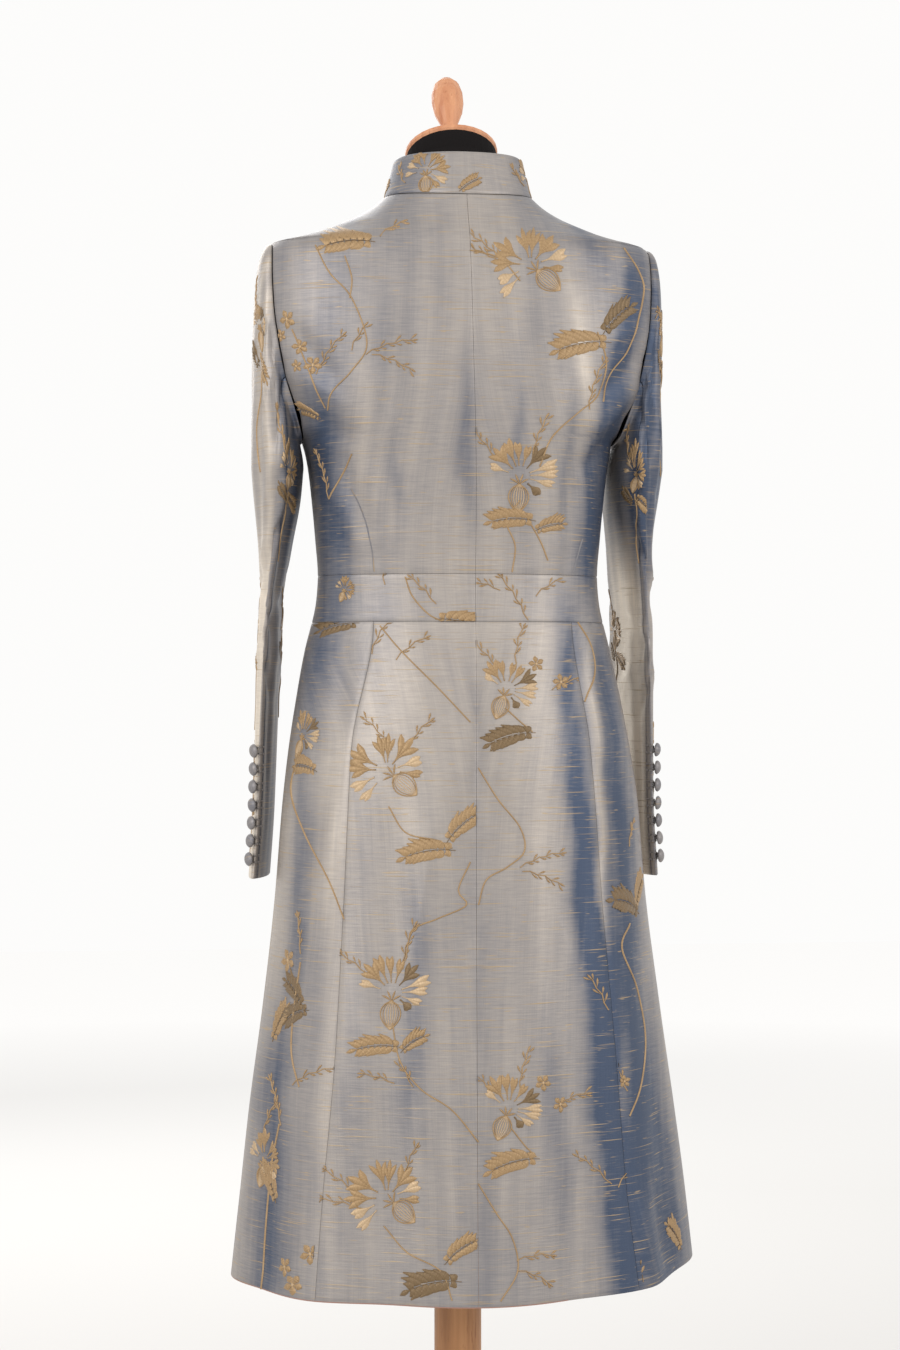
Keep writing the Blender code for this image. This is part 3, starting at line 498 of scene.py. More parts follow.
def silk_material():
    """Shot silk: blue warp and beige weft, with gold slubs along the weft."""
    look = Look("shot_silk")
    weave = look.node("UVMap", uv_map="weave")
    share = look.node("Attribute", output="Fac", attribute_name="blue")
    cloudy = look.noise(weave, (9, 4, 1), 4.0)
    streaky = look.noise(weave, (60, 3, 1))
    weft = look.noise(weave, (34, 640, 1), 5.0, 0.75)
    warp = look.noise(weave, (900, 12, 1), 3.0, 0.7)
    slub = look.noise(weave, (17, 640, 1), 2.0, 0.5)
    fat_slub = look.noise(weave, (60, 380, 1), 1.0, 0.4)
    for uneven, strength in ((cloudy, 0.80), (streaky, 0.50), (weft, 0.80)):
        centred = look.calc("SUBTRACT", uneven, 0.5)
        share = look.calc("ADD", share, look.calc("MULTIPLY", centred, strength))
    # The mesh's share paints sheen and shade: above zero it mixes beige towards blue, below zero
    # towards a painted pale highlight.
    pale_sheen = look.node("Clamp", {"Value": look.calc("MULTIPLY", share, -1.0)})
    ground = look.mix(look.node("Clamp", {"Value": share}), BEIGE, BLUE)
    ground = look.mix(pale_sheen, ground, SHEEN_PALE)
    threads = look.ramp(warp, (0.30, (0.86, 0.88, 0.92)), (0.70, (1.06, 1.05, 1.03)))
    ground = look.mix(0.6, ground, threads, "MULTIPLY")
    slub_share = look.ramp(slub, (0.62, SHADOW), (0.70, (0.75, 0.75, 0.75)))
    ground = look.mix(slub_share, ground, GOLD_SLUB)
    fat_share = look.ramp(fat_slub, (0.70, SHADOW), (0.78, (0.6, 0.6, 0.6)))
    ground = look.mix(fat_share, ground, GOLD_SLUB)
    height = look.calc("ADD", weft, look.calc("MULTIPLY", slub_share, 0.8))
    height = look.calc("ADD", height, look.calc("MULTIPLY", warp, 0.4))
    return look.finished(ground, height, 0.35, 0.0006, Roughness=0.42, Metallic=0.45,
                         Specular_IOR_Level=0.25, Anisotropic=0.45)


def thread_material(name, colour, dark):
    """Satin stitch: fine threads laid across each shape; the dark tone is painted shade between the
    threads, and also darker patches at random.
    """
    look = Look(name)
    weave = look.node("UVMap", uv_map="weave")
    threads = look.noise(weave, (1500, 60, 1), 2.0)
    patch = look.noise(weave, (40, 40, 1), 2.0, 0.5)
    shade = look.mix(look.ramp(threads, (0.3, SHADOW), (0.7, (1, 1, 1))), dark, colour)
    shade = look.mix(0.35, shade, look.ramp(patch, (0.3, dark), (0.7, colour)))
    return look.finished(shade, threads, 0.8, 0.0005, Roughness=0.38, Metallic=0.35,
                         Anisotropic=0.4)


def plain_cloth_material(name, colour, roughness):
    """Closely woven plain cloth, such as the form's cover or the hem's edging."""
    look = Look(name)
    grain = look.noise(look.node("TexCoord", output="Object"), (900, 900, 900))
    soft = tuple(channel * 0.6 for channel in colour)
    return look.finished(look.mix(grain, soft, colour), grain, 0.4, 0.0005,
                         Roughness=roughness, Specular_IOR_Level=0.15)


def wood_material(name, dark, middle, light):
    """Satin beech: warm, with fine upright grain and small flecks."""
    look = Look(name)
    place = look.node("TexCoord", output="Object")
    grain = look.noise(place, (90, 90, 5), 4.0)
    flecks = look.noise(place, (420, 420, 60), 2.0, 0.5)
    colour = look.ramp(grain, (0.30, dark), (0.55, middle), (0.75, light))
    spots = look.ramp(flecks, (0.62, (1, 1, 1)), (0.72, (0.70, 0.60, 0.52)))
    return look.finished(look.mix(0.8, colour, spots, "MULTIPLY"), grain, 0.15, 0.0004,
                         Roughness=0.50, Coat_Weight=0.05, Coat_Roughness=0.25)


SILK = silk_material()
GOLD = thread_material("gold_thread", (0.50, 0.335, 0.172), (0.20, 0.118, 0.052))
BRONZE = thread_material("bronze_thread", (0.27, 0.178, 0.086), (0.10, 0.062, 0.030))
PALE_GOLD = thread_material("pale_gold_thread", (0.66, 0.480, 0.300), (0.34, 0.235, 0.130))
THREADS = (GOLD, BRONZE, PALE_GOLD)
BLACK = plain_cloth_material("black_cloth", (0.010, 0.008, 0.008), 0.9)
EDGING = plain_cloth_material("hem_edging", (0.42, 0.24, 0.19), 0.6)
TOP_WOOD = wood_material("top_wood", (0.46, 0.175, 0.080), (0.60, 0.280, 0.140),
                         (0.72, 0.350, 0.190))
POST_WOOD = wood_material("post_wood", (0.33, 0.145, 0.052), (0.46, 0.215, 0.084),
                          (0.54, 0.275, 0.118))


def keep(piece, slot, *replaced):
    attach(piece, "root")
    if replaced:
        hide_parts(*replaced)


def outer_area(rows):
    """Area and greatest width and length of a grid of points."""
    area, widths, lengths = 0.0, [], []
    for low, high in zip(rows, rows[1:]):
        for a, b, c, d in zip(low, low[1:], high[1:], high):
            area += ((c - a).cross(d - b)).length / 2
    for row in rows:
        widths.append(sum((b - a).length for a, b in zip(row, row[1:])))
    for column in range(len(rows[0])):
        lengths.append(sum((high[column] - low[column]).length
                           for low, high in zip(rows, rows[1:])))
    return area, max(widths), max(lengths)


def rolled_in(rows, normals, roll):
    """Grids with each edge drawn back by half a seam and rolled in a little."""
    drawn = [[p.copy() for p in row] for row in rows]
    half_gap = SEAM_GAP / 2
    for old, new in zip(rows, drawn):
        new[0] += (old[1] - old[0]).normalized() * half_gap
        new[-1] += (old[-2] - old[-1]).normalized() * half_gap
    for end, inside in ((0, 1), (-1, -2)):
        for column, new in enumerate(drawn[end]):
            new += (rows[inside][column] - rows[end][column]).normalized() * half_gap
    last_row, last_column = len(rows) - 1, len(rows[0]) - 1
    for i, row in enumerate(drawn):
        for j, point in enumerate(row):
            if i in (0, last_row) or j in (0, last_column):
                point -= normals[i][j] * roll
    return drawn


def walled(outer, normals):
    return [[p - n * SHELL for p, n in zip(row, away)] for row, away in zip(outer, normals)]


def make_cloth(node, outer, inner, weave, blue, materials=(SILK,)):
    """One piece of the coat's cloth, on its solid's form; the size of the sheet it is cut from is
    worked out but not kept.
    """
    body = Mesh()
    body.wall(outer, inner, weave, blue)
    piece = body.make(node + "_cloth", materials)
    keep(piece, "shot_silk", node)
    area, width, length = outer_area(outer)
    return piece


def near_edges(start, end, count):
    """Steps from start to end with a close pair at each end, for a crisp seam."""
    close = SEAM_PAIR / max(abs(end - start), 0.01) / TYPICAL_REACH
    inner = spread(start + (end - start) * close, end - (end - start) * close, count)
    return [start] + inner + [end]


def panel(name, levels, edges_at, columns):
    """A panel of the coat's body as a thin shell on its solid's form."""
    points, normals, weave, blue = [], [], [], []
    for level in levels:
        start, end = edges_at(level)
        angles = near_edges(start, end, columns)
        row, away = zip(*(cloth_point(angle, level) for angle in angles))
        steps = [(b - a).length for a, b in zip(row, row[1:])]
        points.append(row)
        normals.append(away)
        blue.append([blue_and_sheen_at(angle, level) for angle in angles])
        weave.append([(length + start * BODY_WEAVE, level) for length in accumulate([0.0] + steps)])
    outer = rolled_in(points, normals, SEAM_ROLL)
    return make_cloth(name, outer, walled(outer, normals), weave, blue,
                      (SILK, EDGING))


def edge_hem(piece):
    """The hem's edge shows a thin line of edging."""
    for face in piece.data.polygons:
        if face.center.z < HEM_Z + HEM_EDGE or face.normal.z < -0.8:
            face.material_index = 1


def make_body():
    shoulder = spread(SHOULDER_Z, NECKLINE_Z - 0.001, 26)
    bodice = [WAIST_HIGH_Z, WAIST_HIGH_Z + SEAM_STEP] + spread(1.062, SHOULDER_Z - 0.0022, 54)
    bodice += shoulder + [NECKLINE_Z]
    band = [WAIST_LOW_Z, WAIST_LOW_Z + SEAM_STEP] + spread(1.012, 1.048, 6)
    band += [WAIST_HIGH_Z - SEAM_STEP, WAIST_HIGH_Z]
    skirt = [HEM_Z, HEM_Z + HEM_EDGE] + spread(HEM_Z + 0.006, WAIST_LOW_Z - 0.006, 64)
    skirt += [WAIST_LOW_Z - SEAM_STEP, WAIST_LOW_Z]
    for side, hand in SIDES:
        for part, levels, columns in (("bodice", bodice, 40), ("waistband", band, 22)):
            panel(f"{part}_back_{hand}", levels, partial(back_edges, side), columns)
            panel(f"{part}_front_{hand}", levels, partial(front_edges, side), columns)
        for gore, part in enumerate(("back", "side_back", "side_front", "front")):
            edge_hem(panel(f"skirt_{part}_{hand}", skirt,
                           lambda level: gore_edges(side, level)[gore:gore + 2], 24))


def collar_point(angle, share):
    """A point of the collar's outer face, from its foot to its top, and its outward direction."""
    end = math.pi - COLLAR_FRONT_GAP
    foot = coat_point(angle, NECKLINE_Z)
    flat = Vector((foot.x, foot.y, 0)).normalized()
    to_end = min(max((end - abs(angle)) / math.radians(20), 0.0), 1.0)
    height = COLLAR_HEIGHT - COLLAR_SIDE_DROP * min(1.0, 1 - math.cos(angle))
    height *= 1 - 0.45 * (1 - to_end) ** 2.5
    lean = COLLAR_LEAN * height / COLLAR_HEIGHT
    lean *= 1 - (1 - COLLAR_FRONT_LEAN) * max(0.0, -math.cos(angle))
    rise = Vector((0, 0, SEAM_GAP + height * share))
    ripple = 0.0006 * math.sin(angle * 5 + 0.7) * share
    return foot + rise - flat * (lean * share - ripple), flat


def make_collar():
    end = math.pi - COLLAR_FRONT_GAP
    angles = spread(-end, end, 96)
    # Painted sheen: the collar shows bluer where it turns to the sides.
    blue = [0.25 + 0.35 * abs(math.sin(angle)) ** 2 for angle in angles]
    outer, inner, weave = [], [], []
    shares = [0, 0.03] + spread(0.08, 0.92, 8) + [0.97, 1.0]
    for share in shares:
        tuck, wall = (0.0008, 0.0010) if share in (0, 1) else (0, 0.0026)
        seen = [collar_point(angle, share) for angle in angles]
        outer.append([point - flat * tuck for point, flat in seen])
        inner.append([point - flat * wall for point, (_, flat) in zip(outer[-1], seen)])
        weave.append([(angle * COLLAR_WEAVE, point.z) for angle, point in zip(angles, outer[-1])])
    make_cloth("collar", outer, inner, weave, [blue] * len(shares))


def hanging_point(side, turn, level):
    """A point of the hanging sleeve's outer face; the turn runs from its outer side to the back."""
    section = sleeve_section(level)
    cosine, sine = math.cos(turn), math.sin(turn)
    reach = (abs(cosine) ** SLEEVE_SQUARE + abs(sine) ** SLEEVE_SQUARE) ** (-1 / SLEEVE_SQUARE)
    thick, depth = section.thick * cosine * reach, section.depth * sine * reach
    twist = math.radians(section.turn)
    x = section.out + math.cos(twist) * thick + math.sin(twist) * depth
    y = -section.forward + math.cos(twist) * depth - math.sin(twist) * thick
    return Vector((side * x, y, level))


def armhole_point(side, turn):
    """The armhole's seam point for a turn round the sleeve, and the direction out through it."""
    turn %= math.tau
    middle, half = (UNDERARM_Z + SHOULDER_Z) / 2, (SHOULDER_Z - UNDERARM_Z) / 2
    level = middle + half * math.cos(turn)
    angle = side_angle(level)
    if turn > math.pi:
        angle = math.pi - angle
    rise = 0.004
    slope = (armhole_at(level + rise).reach - armhole_at(level - rise).reach) / (2 * rise)
    return coat_point(side * angle, level), Vector((side, 0, -slope)).normalized()


def head_point(side, turn, t):
    """A point of the sleeve's head, from the armhole (0) to the hanging sleeve (1)."""
    seam, through = armhole_point(side, turn)
    end = hanging_point(side, turn, SLEEVE_TOP_Z)
    above = (1 + math.cos(turn)) / 2
    start = seam + through * SEAM_GAP
    first = start + through * (HEAD_OUT + HEAD_OUT_ABOVE * above)
    last = end + Vector((0, 0, HEAD_FALL * (seam.z - end.z)))
    return (start * (1 - t) ** 3 + first * 3 * t * (1 - t) ** 2
            + last * 3 * t * t * (1 - t) + end * t ** 3)


# Creases of the sleeves: place round and height, half widths round and up, lean, depth
Fold = namedtuple("Fold", "turn level round up lean depth")
SLEEVE_FOLDS = [Fold(*row) for row in (
    (88, 1.235, 9, 0.075, 0, -0.003), (66, 1.215, 8, 0.085, 0, 0.0022), (46, 1.2, 9, 0.09, 0, -0.0024),
    (24, 1.18, 9, 0.1, 0, 0.0016), (104, 1.12, 8, 0.07, 0, 0.0022), (80, 1.09, 9, 0.075, 0, -0.0026),
    (56, 1.02, 9, 0.09, 0, 0.002), (128, 1.06, 10, 0.09, 0, -0.0022), (150, 0.98, 12, 0.1, 0, 0.002),
    (76, 0.92, 9, 0.09, 0, -0.0018), (135, 0.88, 10, 0.08, 0, -0.0018),
    (20, 1.03, 50, 0.012, 0.3, -0.0022), (60, 1.066, 45, 0.01, 0.46, 0.002),
    (95, 1.01, 40, 0.009, -0.36, -0.003), (100, 1.085, 36, 0.01, 0.56, -0.0032),
    (84, 0.985, 36, 0.009, 0.46, 0.0024), (110, 0.95, 36, 0.01, -0.42, -0.0026),
    (110, 1.15, 36, 0.01, 0.6, -0.0034), (95, 1.195, 30, 0.011, 0.85, -0.0036),
    (80, 1.228, 30, 0.011, 0.9, 0.0032), (60, 1.275, 30, 0.012, 0.9, -0.0026),
    (30, 1.255, 30, 0.014, 0.8, -0.0026), (160, 1.02, 40, 0.01, 0.4, -0.0026),
    (165, 0.96, 40, 0.01, -0.36, 0.0022), (250, 1.05, 60, 0.012, 0.3, -0.003),
    (275, 1.11, 50, 0.013, -0.36, 0.0028), (255, 0.99, 60, 0.012, 0.3, 0.0022),
    (300, 1.215, 40, 0.013, -0.6, -0.0026),
)]


def sleeve_fold(side, turn, level):
    total = 0.0
    shift = 0.012 if side > 0 else -0.010
    for fold in SLEEVE_FOLDS:
        round_by = math.remainder(turn - math.radians(fold.turn), math.tau)
        up_by = level - fold.level - shift - fold.lean * 0.1 * round_by
        total += fold.depth * math.exp(-(round_by / math.radians(fold.round)) ** 2
                                       - (up_by / fold.up) ** 2)
    return total


def sleeve_sheen(side, turn, level):
    """Painted sheen and shade: pale on the outer side and blue within on the left; blue with a pale
    inner arm on the right, all crossed by painted upright streaks.
    """
    def near(middle, width):
        off = math.remainder(turn - math.radians(middle), math.tau)
        return math.exp(-(off / math.radians(width)) ** 2)
    high = min(max((level - 1.03) / 0.08, 0), 1)
    blue = 0.14 * math.sin(turn * 13 + 1.5 * math.sin(level * 11) + side)
    if side > 0:
        blue += 0.12 + near(155, 48) * (0.48 + 0.32 * high) + 0.30 * near(100, 9)
        blue -= near(45, 45) * (0.90 - 0.80 * high)
    else:
        blue += 0.22 + near(88, 75) * 0.80 * high
        blue += (1 - high) * (0.34 * near(100, 20) - 1.60 * near(160, 42))
    return min(max(blue, -1), 1)


def sleeve_grid(side, turns):
    """Rows of points from the armhole to the cuff over some turns, with directions."""
    steps = [(step / HEAD_ROWS) ** 1.1 for step in range(HEAD_ROWS)]
    levels = spread(SLEEVE_TOP_Z, CUFF_Z + 0.004, ARM_ROWS) + [CUFF_Z + 0.0015, CUFF_Z]

    def point_at(index, turn):
        if index < HEAD_ROWS:
            return head_point(side, turn, steps[index])
        return hanging_point(side, turn, levels[index - HEAD_ROWS])
    count = HEAD_ROWS + len(levels)
    widened = (turns[0] - 0.05, *turns, turns[-1] + 0.05)
    wide = [[point_at(index, turn) for turn in widened] for index in range(count)]
    points = [row[1:-1] for row in wide]
    normals = []
    for index in range(count):
        above, below = max(index - 1, 0), min(index + 1, count - 1)
        away = []
        for column in range(len(turns)):
            around = wide[index][column + 2] - wide[index][column]
            down = points[below][column] - points[above][column]
            away.append((around.cross(down) * -side).normalized())
        normals.append(away)
    for column, turn in enumerate(turns):
        through = armhole_point(side, turn)[1]
        normals[0][column] -= through * normals[0][column].dot(through)
        normals[0][column].normalize()
    return points, normals


def make_sleeve(side, hand):
    for part, start, end, columns in (("top", FRONT_SEAM_TURN - math.tau, BACK_SEAM_TURN, 44),
                                      ("under", BACK_SEAM_TURN, FRONT_SEAM_TURN, 32)):
        turns = near_edges(start, end, columns)
        points, normals = sleeve_grid(side, turns)
        blue = []
        for index, row in enumerate(points):
            for turn, point, normal in zip(turns, row, normals[index]):
                point += normal * sleeve_fold(side, turn, point.z) * min(1.0, index / 6)
            shade = [sleeve_sheen(side, turn, point.z) for turn, point in zip(turns, row)]
            # Painted shade along the seams: the two columns at each edge are bluer.
            for column in (0, 1, -2, -1):
                shade[column] = min(1, shade[column] + 0.5)
            blue.append(shade)
        weave = [[(turn * SLEEVE_WEAVE, point.z) for turn, point in zip(turns, row)] for row in points]
        outer = rolled_in(points, normals, SLEEVE_ROLL)
        make_cloth(f"sleeve_{part}_{hand}", outer, walled(outer, normals), weave, blue)


make_body()
make_collar()
for side, hand in SIDES:
    make_sleeve(side, hand)


# Covered buttons, by radius and height from top to foot, and the cords of their loops
BUTTON_PROFILE = (
    (0.0000, 0.0078), (0.0018, 0.0077), (0.0036, 0.0072), (0.0052, 0.0064), (0.0063, 0.0054),
    (0.0069, 0.0044), (0.0069, 0.0036), (0.0064, 0.0029), (0.0050, 0.0025), (0.0022, 0.0023),
    (0.0016, 0.0018), (0.0016, 0.0000), (0.0000, 0.0000),
)
BUTTON_SIDES = 28
CORD_SIDES = 8
CORD_RADIUS = 0.0010
CORD_BLUE = 0.35
LOOP_HALF = 0.0034
CUFF_BLUE, FRONT_BLUE = 0.45, 0.35

# The sleeve's back seam, its back corner and the next corner, which the loops run over
LOOP_TURNS = (BACK_SEAM_TURN, math.radians(90), math.radians(67.5))
FRONT_BUTTON_X, FRONT_LOOP_TIP_X = 0.009, 0.014


def add_button(body, seat, outward, blue):
    """A dome covered in the coat's cloth, gathered under its rim, on a shank."""
    turn = outward.to_track_quat("Z", "Y").to_matrix()
    spin = random.uniform(0, math.tau)
    points, weave = [], []
    for ring, (radius, height) in enumerate(BUTTON_PROFILE):
        for step in range(BUTTON_SIDES):
            angle = math.tau * step / BUTTON_SIDES
            pucker = 0.00018 * math.cos(9 * angle + spin) if 5 <= ring <= 9 else 0.0
            r = radius + pucker
            flat = Vector((r * math.cos(angle), r * math.sin(angle), height))
            points.append(seat + outward * SEAM_GAP + turn @ flat)
            weave.append((flat.x * math.cos(spin) + flat.y * math.sin(spin) + spin,
                          flat.y * math.cos(spin) - flat.x * math.sin(spin)))
    add_rings(body, points, BUTTON_SIDES, weave, blue)


def add_rings(body, points, sides, weave, blue, ends=()):
    """A round surface through rings of points."""
    faces = list(ends)
    for start in range(0, len(points) - sides, sides):
        for a in range(start, start + sides):
            b = start + (a - start + 1) % sides
            faces.append((a, a + sides, b + sides, b))
    body.add(points, faces, weave, [blue] * len(points))


def add_cord(body, path):
    """A round cord along a path, with closed ends."""
    points, weave = [], []
    for index, here in enumerate(path):
        before, after = path[max(index - 1, 0)], path[min(index + 1, len(path) - 1)]
        along = (after - before).normalized()
        out = along.orthogonal().normalized()
        across = along.cross(out)
        for step in range(CORD_SIDES):
            angle = math.tau * step / CORD_SIDES
            points.append(here + (out * math.cos(angle) + across * math.sin(angle)) * CORD_RADIUS)
            weave.append((index * 0.001, angle * CORD_RADIUS))
    last = len(points) - CORD_SIDES
    ends = (tuple(range(CORD_SIDES)), tuple(range(last, last + CORD_SIDES)))
    add_rings(body, points, CORD_SIDES, weave, CORD_BLUE, ends)


def add_loop(body, root, corner, tip, up, lift_near, lift_far, reach):
    """A rouleau loop: out of the seam, round the button's shank, and back."""
    raised = CORD_RADIUS + 0.0002

    def arm(steps, way):
        return [root.lerp(corner, share) + up * height * way + lift_near * raised
                for share, height in steps]
    steps = ((0.02, LOOP_HALF), (0.45, LOOP_HALF), (0.8, LOOP_HALF * 0.95))
    path = arm(steps, -1)
    for step in range(9):
        angle = math.pi * step / 8 - math.pi / 2
        along = math.cos(angle)
        lift = lift_near.lerp(lift_far, 0.5 + 0.5 * along).normalized()
        path.append(corner.lerp(tip, reach * along) + up * LOOP_HALF * math.sin(angle)
                    + lift * raised)
    add_cord(body, path + arm(steps[::-1], 1))


def square_to(first, second, up, outward):
    normal = (second - first).cross(up).normalized()
    return normal if normal.dot(outward) > 0 else -normal


def make_cuff(side, hand):
    buttons, loops = Mesh(), Mesh()
    up = Vector((0, 0, 1))
    outward = Vector((0.2 * side, 1, 0)).normalized()
    for step in range(CUFF_BUTTONS):
        z = LOWEST_CUFF_BUTTON_Z + BUTTON_PITCH * step
        root, corner, tip = (hanging_point(side, turn, z) for turn in LOOP_TURNS)
        near, far = square_to(root, corner, up, outward), square_to(corner, tip, up, outward)
        tilt = Vector((0, 0, random.uniform(-0.10, 0.10)))
        add_button(buttons, corner.lerp(tip, 0.6), (far + tilt).normalized(), CUFF_BLUE)
        add_loop(loops, root, corner, tip, up, near, far, 0.62)
    keep(buttons.make(f"cuff_buttons_{hand}", (SILK,)), "shot_silk",
         *[f"cuff_button_{hand}_{number}" for number in range(1, CUFF_BUTTONS + 1)])
    keep(loops.make(f"cuff_loop_cords_{hand}", (SILK,)), "shot_silk", "cuff_loops_" + hand)


def front_point(x, z):
    """A point of the front near its middle, by sideways place and height."""
    level = z
    for _ in range(6):
        level = z - coat_ring(level).front_rise
    return cloth_point(math.pi - math.asin(x / coat_ring(level).half), level)


def make_front_closure():
    buttons, loops = Mesh(), Mesh()
    for step in range(FRONT_BUTTONS):
        z = LOWEST_FRONT_BUTTON_Z + FRONT_PITCH * step
        seat, normal = front_point(FRONT_BUTTON_X, z)
        add_button(buttons, seat, normal, FRONT_BLUE)
        root, away = front_point(-FRONT_BUTTON_X, z)
        corner, tip = front_point(0, z)[0], front_point(FRONT_LOOP_TIP_X, z)[0]
        up = (front_point(0, z + 0.005)[0] - front_point(0, z - 0.005)[0]).normalized()
        add_loop(loops, root, corner, tip, up, away, away, 0.72)
    keep(buttons.make("front_buttons", (SILK,)), "shot_silk",
         *[f"front_button_{number}" for number in range(1, FRONT_BUTTONS + 1)])
    keep(loops.make("front_loop_cords", (SILK,)), "shot_silk", "front_loops")


for side, hand in SIDES:
    make_cuff(side, hand)
make_front_closure()


# Embroidery, sketched in millimetres on the photograph's plane: each petal's lean, its shares of
# the flower's size, its lobes and its thread
Petal = namedtuple("Petal", "lean inner outer width lobes thread")
FAN = [Petal(*row) for row in (
    (-90, 0.2, 0.52, 0.09, 2, 2), (-66, 0.18, 0.5, 0.11, 2, 2), (-38, 0.14, 0.52, 0.15, 3, 0),
    (-12, 0.14, 0.56, 0.17, 3, 0), (32, 0.1, 0.48, 0.12, 3, 0), (56, 0.1, 0.48, 0.11, 3, 0),
    (90, 0.1, 0.5, 0.16, 3, 0), (122, 0.14, 0.5, 0.11, 2, 2), (144, 0.16, 0.44, 0.09, 2, 0),
)]
CARNATION = [Petal(*row) for row in (
    (-74, 0.16, 0.44, 0.09, 2, 2), (-50, 0.14, 0.54, 0.15, 3, 0), (-28, 0.14, 0.52, 0.1, 2, 0),
    (-6, 0.14, 0.48, 0.09, 2, 0), (15, 0.14, 0.46, 0.09, 2, 0), (40, 0.14, 0.52, 0.14, 3, 1),
    (66, 0.14, 0.54, 0.1, 2, 2), (84, 0.14, 0.5, 0.09, 2, 2), (102, 0.14, 0.46, 0.08, 2, 2),
    (124, 0.14, 0.34, 0.08, 1, 1),
)]


class Sketch:
    """Satin-stitched strokes: a path, its half widths and its thread, x right and y down."""

    def __init__(self):
        self.strokes = []

    def stroke(self, path, widths, thread=0):
        self.strokes.append((path, widths, thread))

    def petal(self, x, y, turn, length, width, thread=0, bend=0.0, fat=0.6, steps=7):
        """A filled shape from its root outwards, widest at a share of its length."""
        power = math.log(0.5) / math.log(fat)
        path, widths = [(x, y)], [width * 0.10]
        for step in range(1, steps + 1):
            t = step / steps
            angle = math.radians(turn + bend * t)
            x, y = x + math.sin(angle) * length / steps, y - math.cos(angle) * length / steps
            path.append((x, y))
            widths.append(width / 2 * max(0.16, math.sin(math.pi * t ** power)))
        self.stroke(path, widths, thread)

    def stem(self, points, width=1.6, thread=0):
        """A thin smooth line through points."""
        path = smooth(points, 3.5)
        self.stroke(path, [width / 2] * len(path), thread)

    def twig(self, x, y, turn, length, bend=20, thread=0):
        """A zigzag stalk with a short fat shoot at each bend."""
        nodes = max(3, round(length / 8))
        path = [(x, y)]
        for step in range(nodes):
            side = 1 if step % 2 else -1
            angle = math.radians(turn + bend * step / nodes + side * 12)
            x, y = x + math.sin(angle) * length / nodes, y - math.cos(angle) * length / nodes
            path.append((x, y))
        self.stroke(path, [0.65] * len(path), thread)
        for step, (x, y) in enumerate(path[1:]):
            side = -1 if step % 2 else 1
            angle = turn + bend * step / nodes
            reach = 9.5 + random.uniform(-1.5, 1.5)
            self.petal(x, y, angle + side * 50, reach, 2.5, thread, -side * 26, 0.72, 4)
            if step % 2:
                self.petal(x, y, angle - side * 42, reach * 0.75, 2.2, thread, side * 20, 0.7, 4)
        self.petal(*path[-1], turn + bend, 8, 2.5, thread, 0, 0.6, 4)

    def leaf(self, x, y, turn, length, width, thread=0, bend=30):
        """A serrated leaf: slanting pointed lobes on each side of a midrib."""
        lobes = 7
        for index in range(lobes):
            t = 0.03 + 0.82 * index / lobes
            lean = turn + bend * t
            angle = math.radians(lean)
            base_x, base_y = along(x, y, turn, bend, length * t, length)
            fat = float(np.interp(t, (0, 0.15, 0.45, 0.85), (0.28, 0.74, 1.0, 0.42)))
            for side in (-1, 1):
                root_x = base_x + math.cos(angle) * side * 1.5
                root_y = base_y + math.sin(angle) * side * 1.5
                share = 0.98 if side * bend < 0 else 0.74
                reach = width * fat * share * random.uniform(0.80, 1.20)
                self.petal(root_x, root_y, lean + side * 42, reach * 1.12,
                           length / lobes * 1.14, thread, -side * 16, 0.32, 5)
        tip = along(x, y, turn, bend, length * 0.80, length)
        self.petal(*tip, turn + bend * 0.9, length * 0.22, width * 0.26, thread)
        rib = [along(x, y, turn, bend, length * t, length) for t in spread(-0.06, 0.84, 8)]
        self.stroke(rib, [0.4] * len(rib), 1)

    def blossom(self, x, y, size, thread=0):
        turn = random.uniform(0, 72)
        for petal in range(5):
            self.petal(x, y, turn + petal * 72, size * 0.52, size * 0.40, thread, 0, 0.62, 5)
        self.petal(x, y + size * 0.11, 0, size * 0.22, size * 0.24, 2, 0, 0.5, 4)

    def bulb(self, x, y, turn, size):
        """A ribbed calyx, from its tip in the flower down to its stalk."""
        sine, cosine = math.sin(math.radians(turn)), math.cos(math.radians(turn))
        for side in spread(-1, 1, 8):
            path = []
            for t in spread(0, 1, 8):
                out = side * size * 0.135 * math.sin(math.pi * t ** 0.85) ** 0.8
                reach = size * (0.10 + 0.38 * t)
                path.append((x - sine * reach + cosine * out, y + cosine * reach + sine * out))
            width = 0.75 if abs(side) > 0.9 else 0.5
            self.stroke(path, [width] * len(path), 0 if abs(side) > 0.7 else 2)
        for lean in (-44, -18, 12, 40):
            self.petal(x - sine * size * 0.11, y + cosine * size * 0.11,
                       turn + lean, size * 0.15, 2.4, 0, lean * 0.6, 0.6, 4)

    def flower(self, x, y, turn, size, petals):
        """Lobed petals set round a bare centre, and the calyx that carries them."""
        for petal in petals:
            lean = turn + petal.lean + random.uniform(-4, 4)
            angle = math.radians(lean)
            start = petal.inner * size
            root = (x + math.sin(angle) * start, y - math.cos(angle) * start)
            length = (petal.outer - petal.inner) * size * random.uniform(0.94, 1.08)
            middle = (petal.lobes - 1) / 2
            for lobe in range(petal.lobes):
                off = lobe - middle
                opened = off * 38 * petal.width / 0.13
                reach = length * (1 - 0.10 * abs(off)) * random.uniform(0.93, 1.04)
                wide = petal.width * size / petal.lobes * 1.9
                self.petal(*root, lean - opened * 0.1, reach, wide, petal.thread, opened, 0.74)
        self.bulb(x, y, turn, size)

    def fan(self, x, y, turn, size):
        self.flower(x, y, turn, size, FAN)

    def carnation(self, x, y, turn, size):
        self.flower(x, y, turn, size, CARNATION)


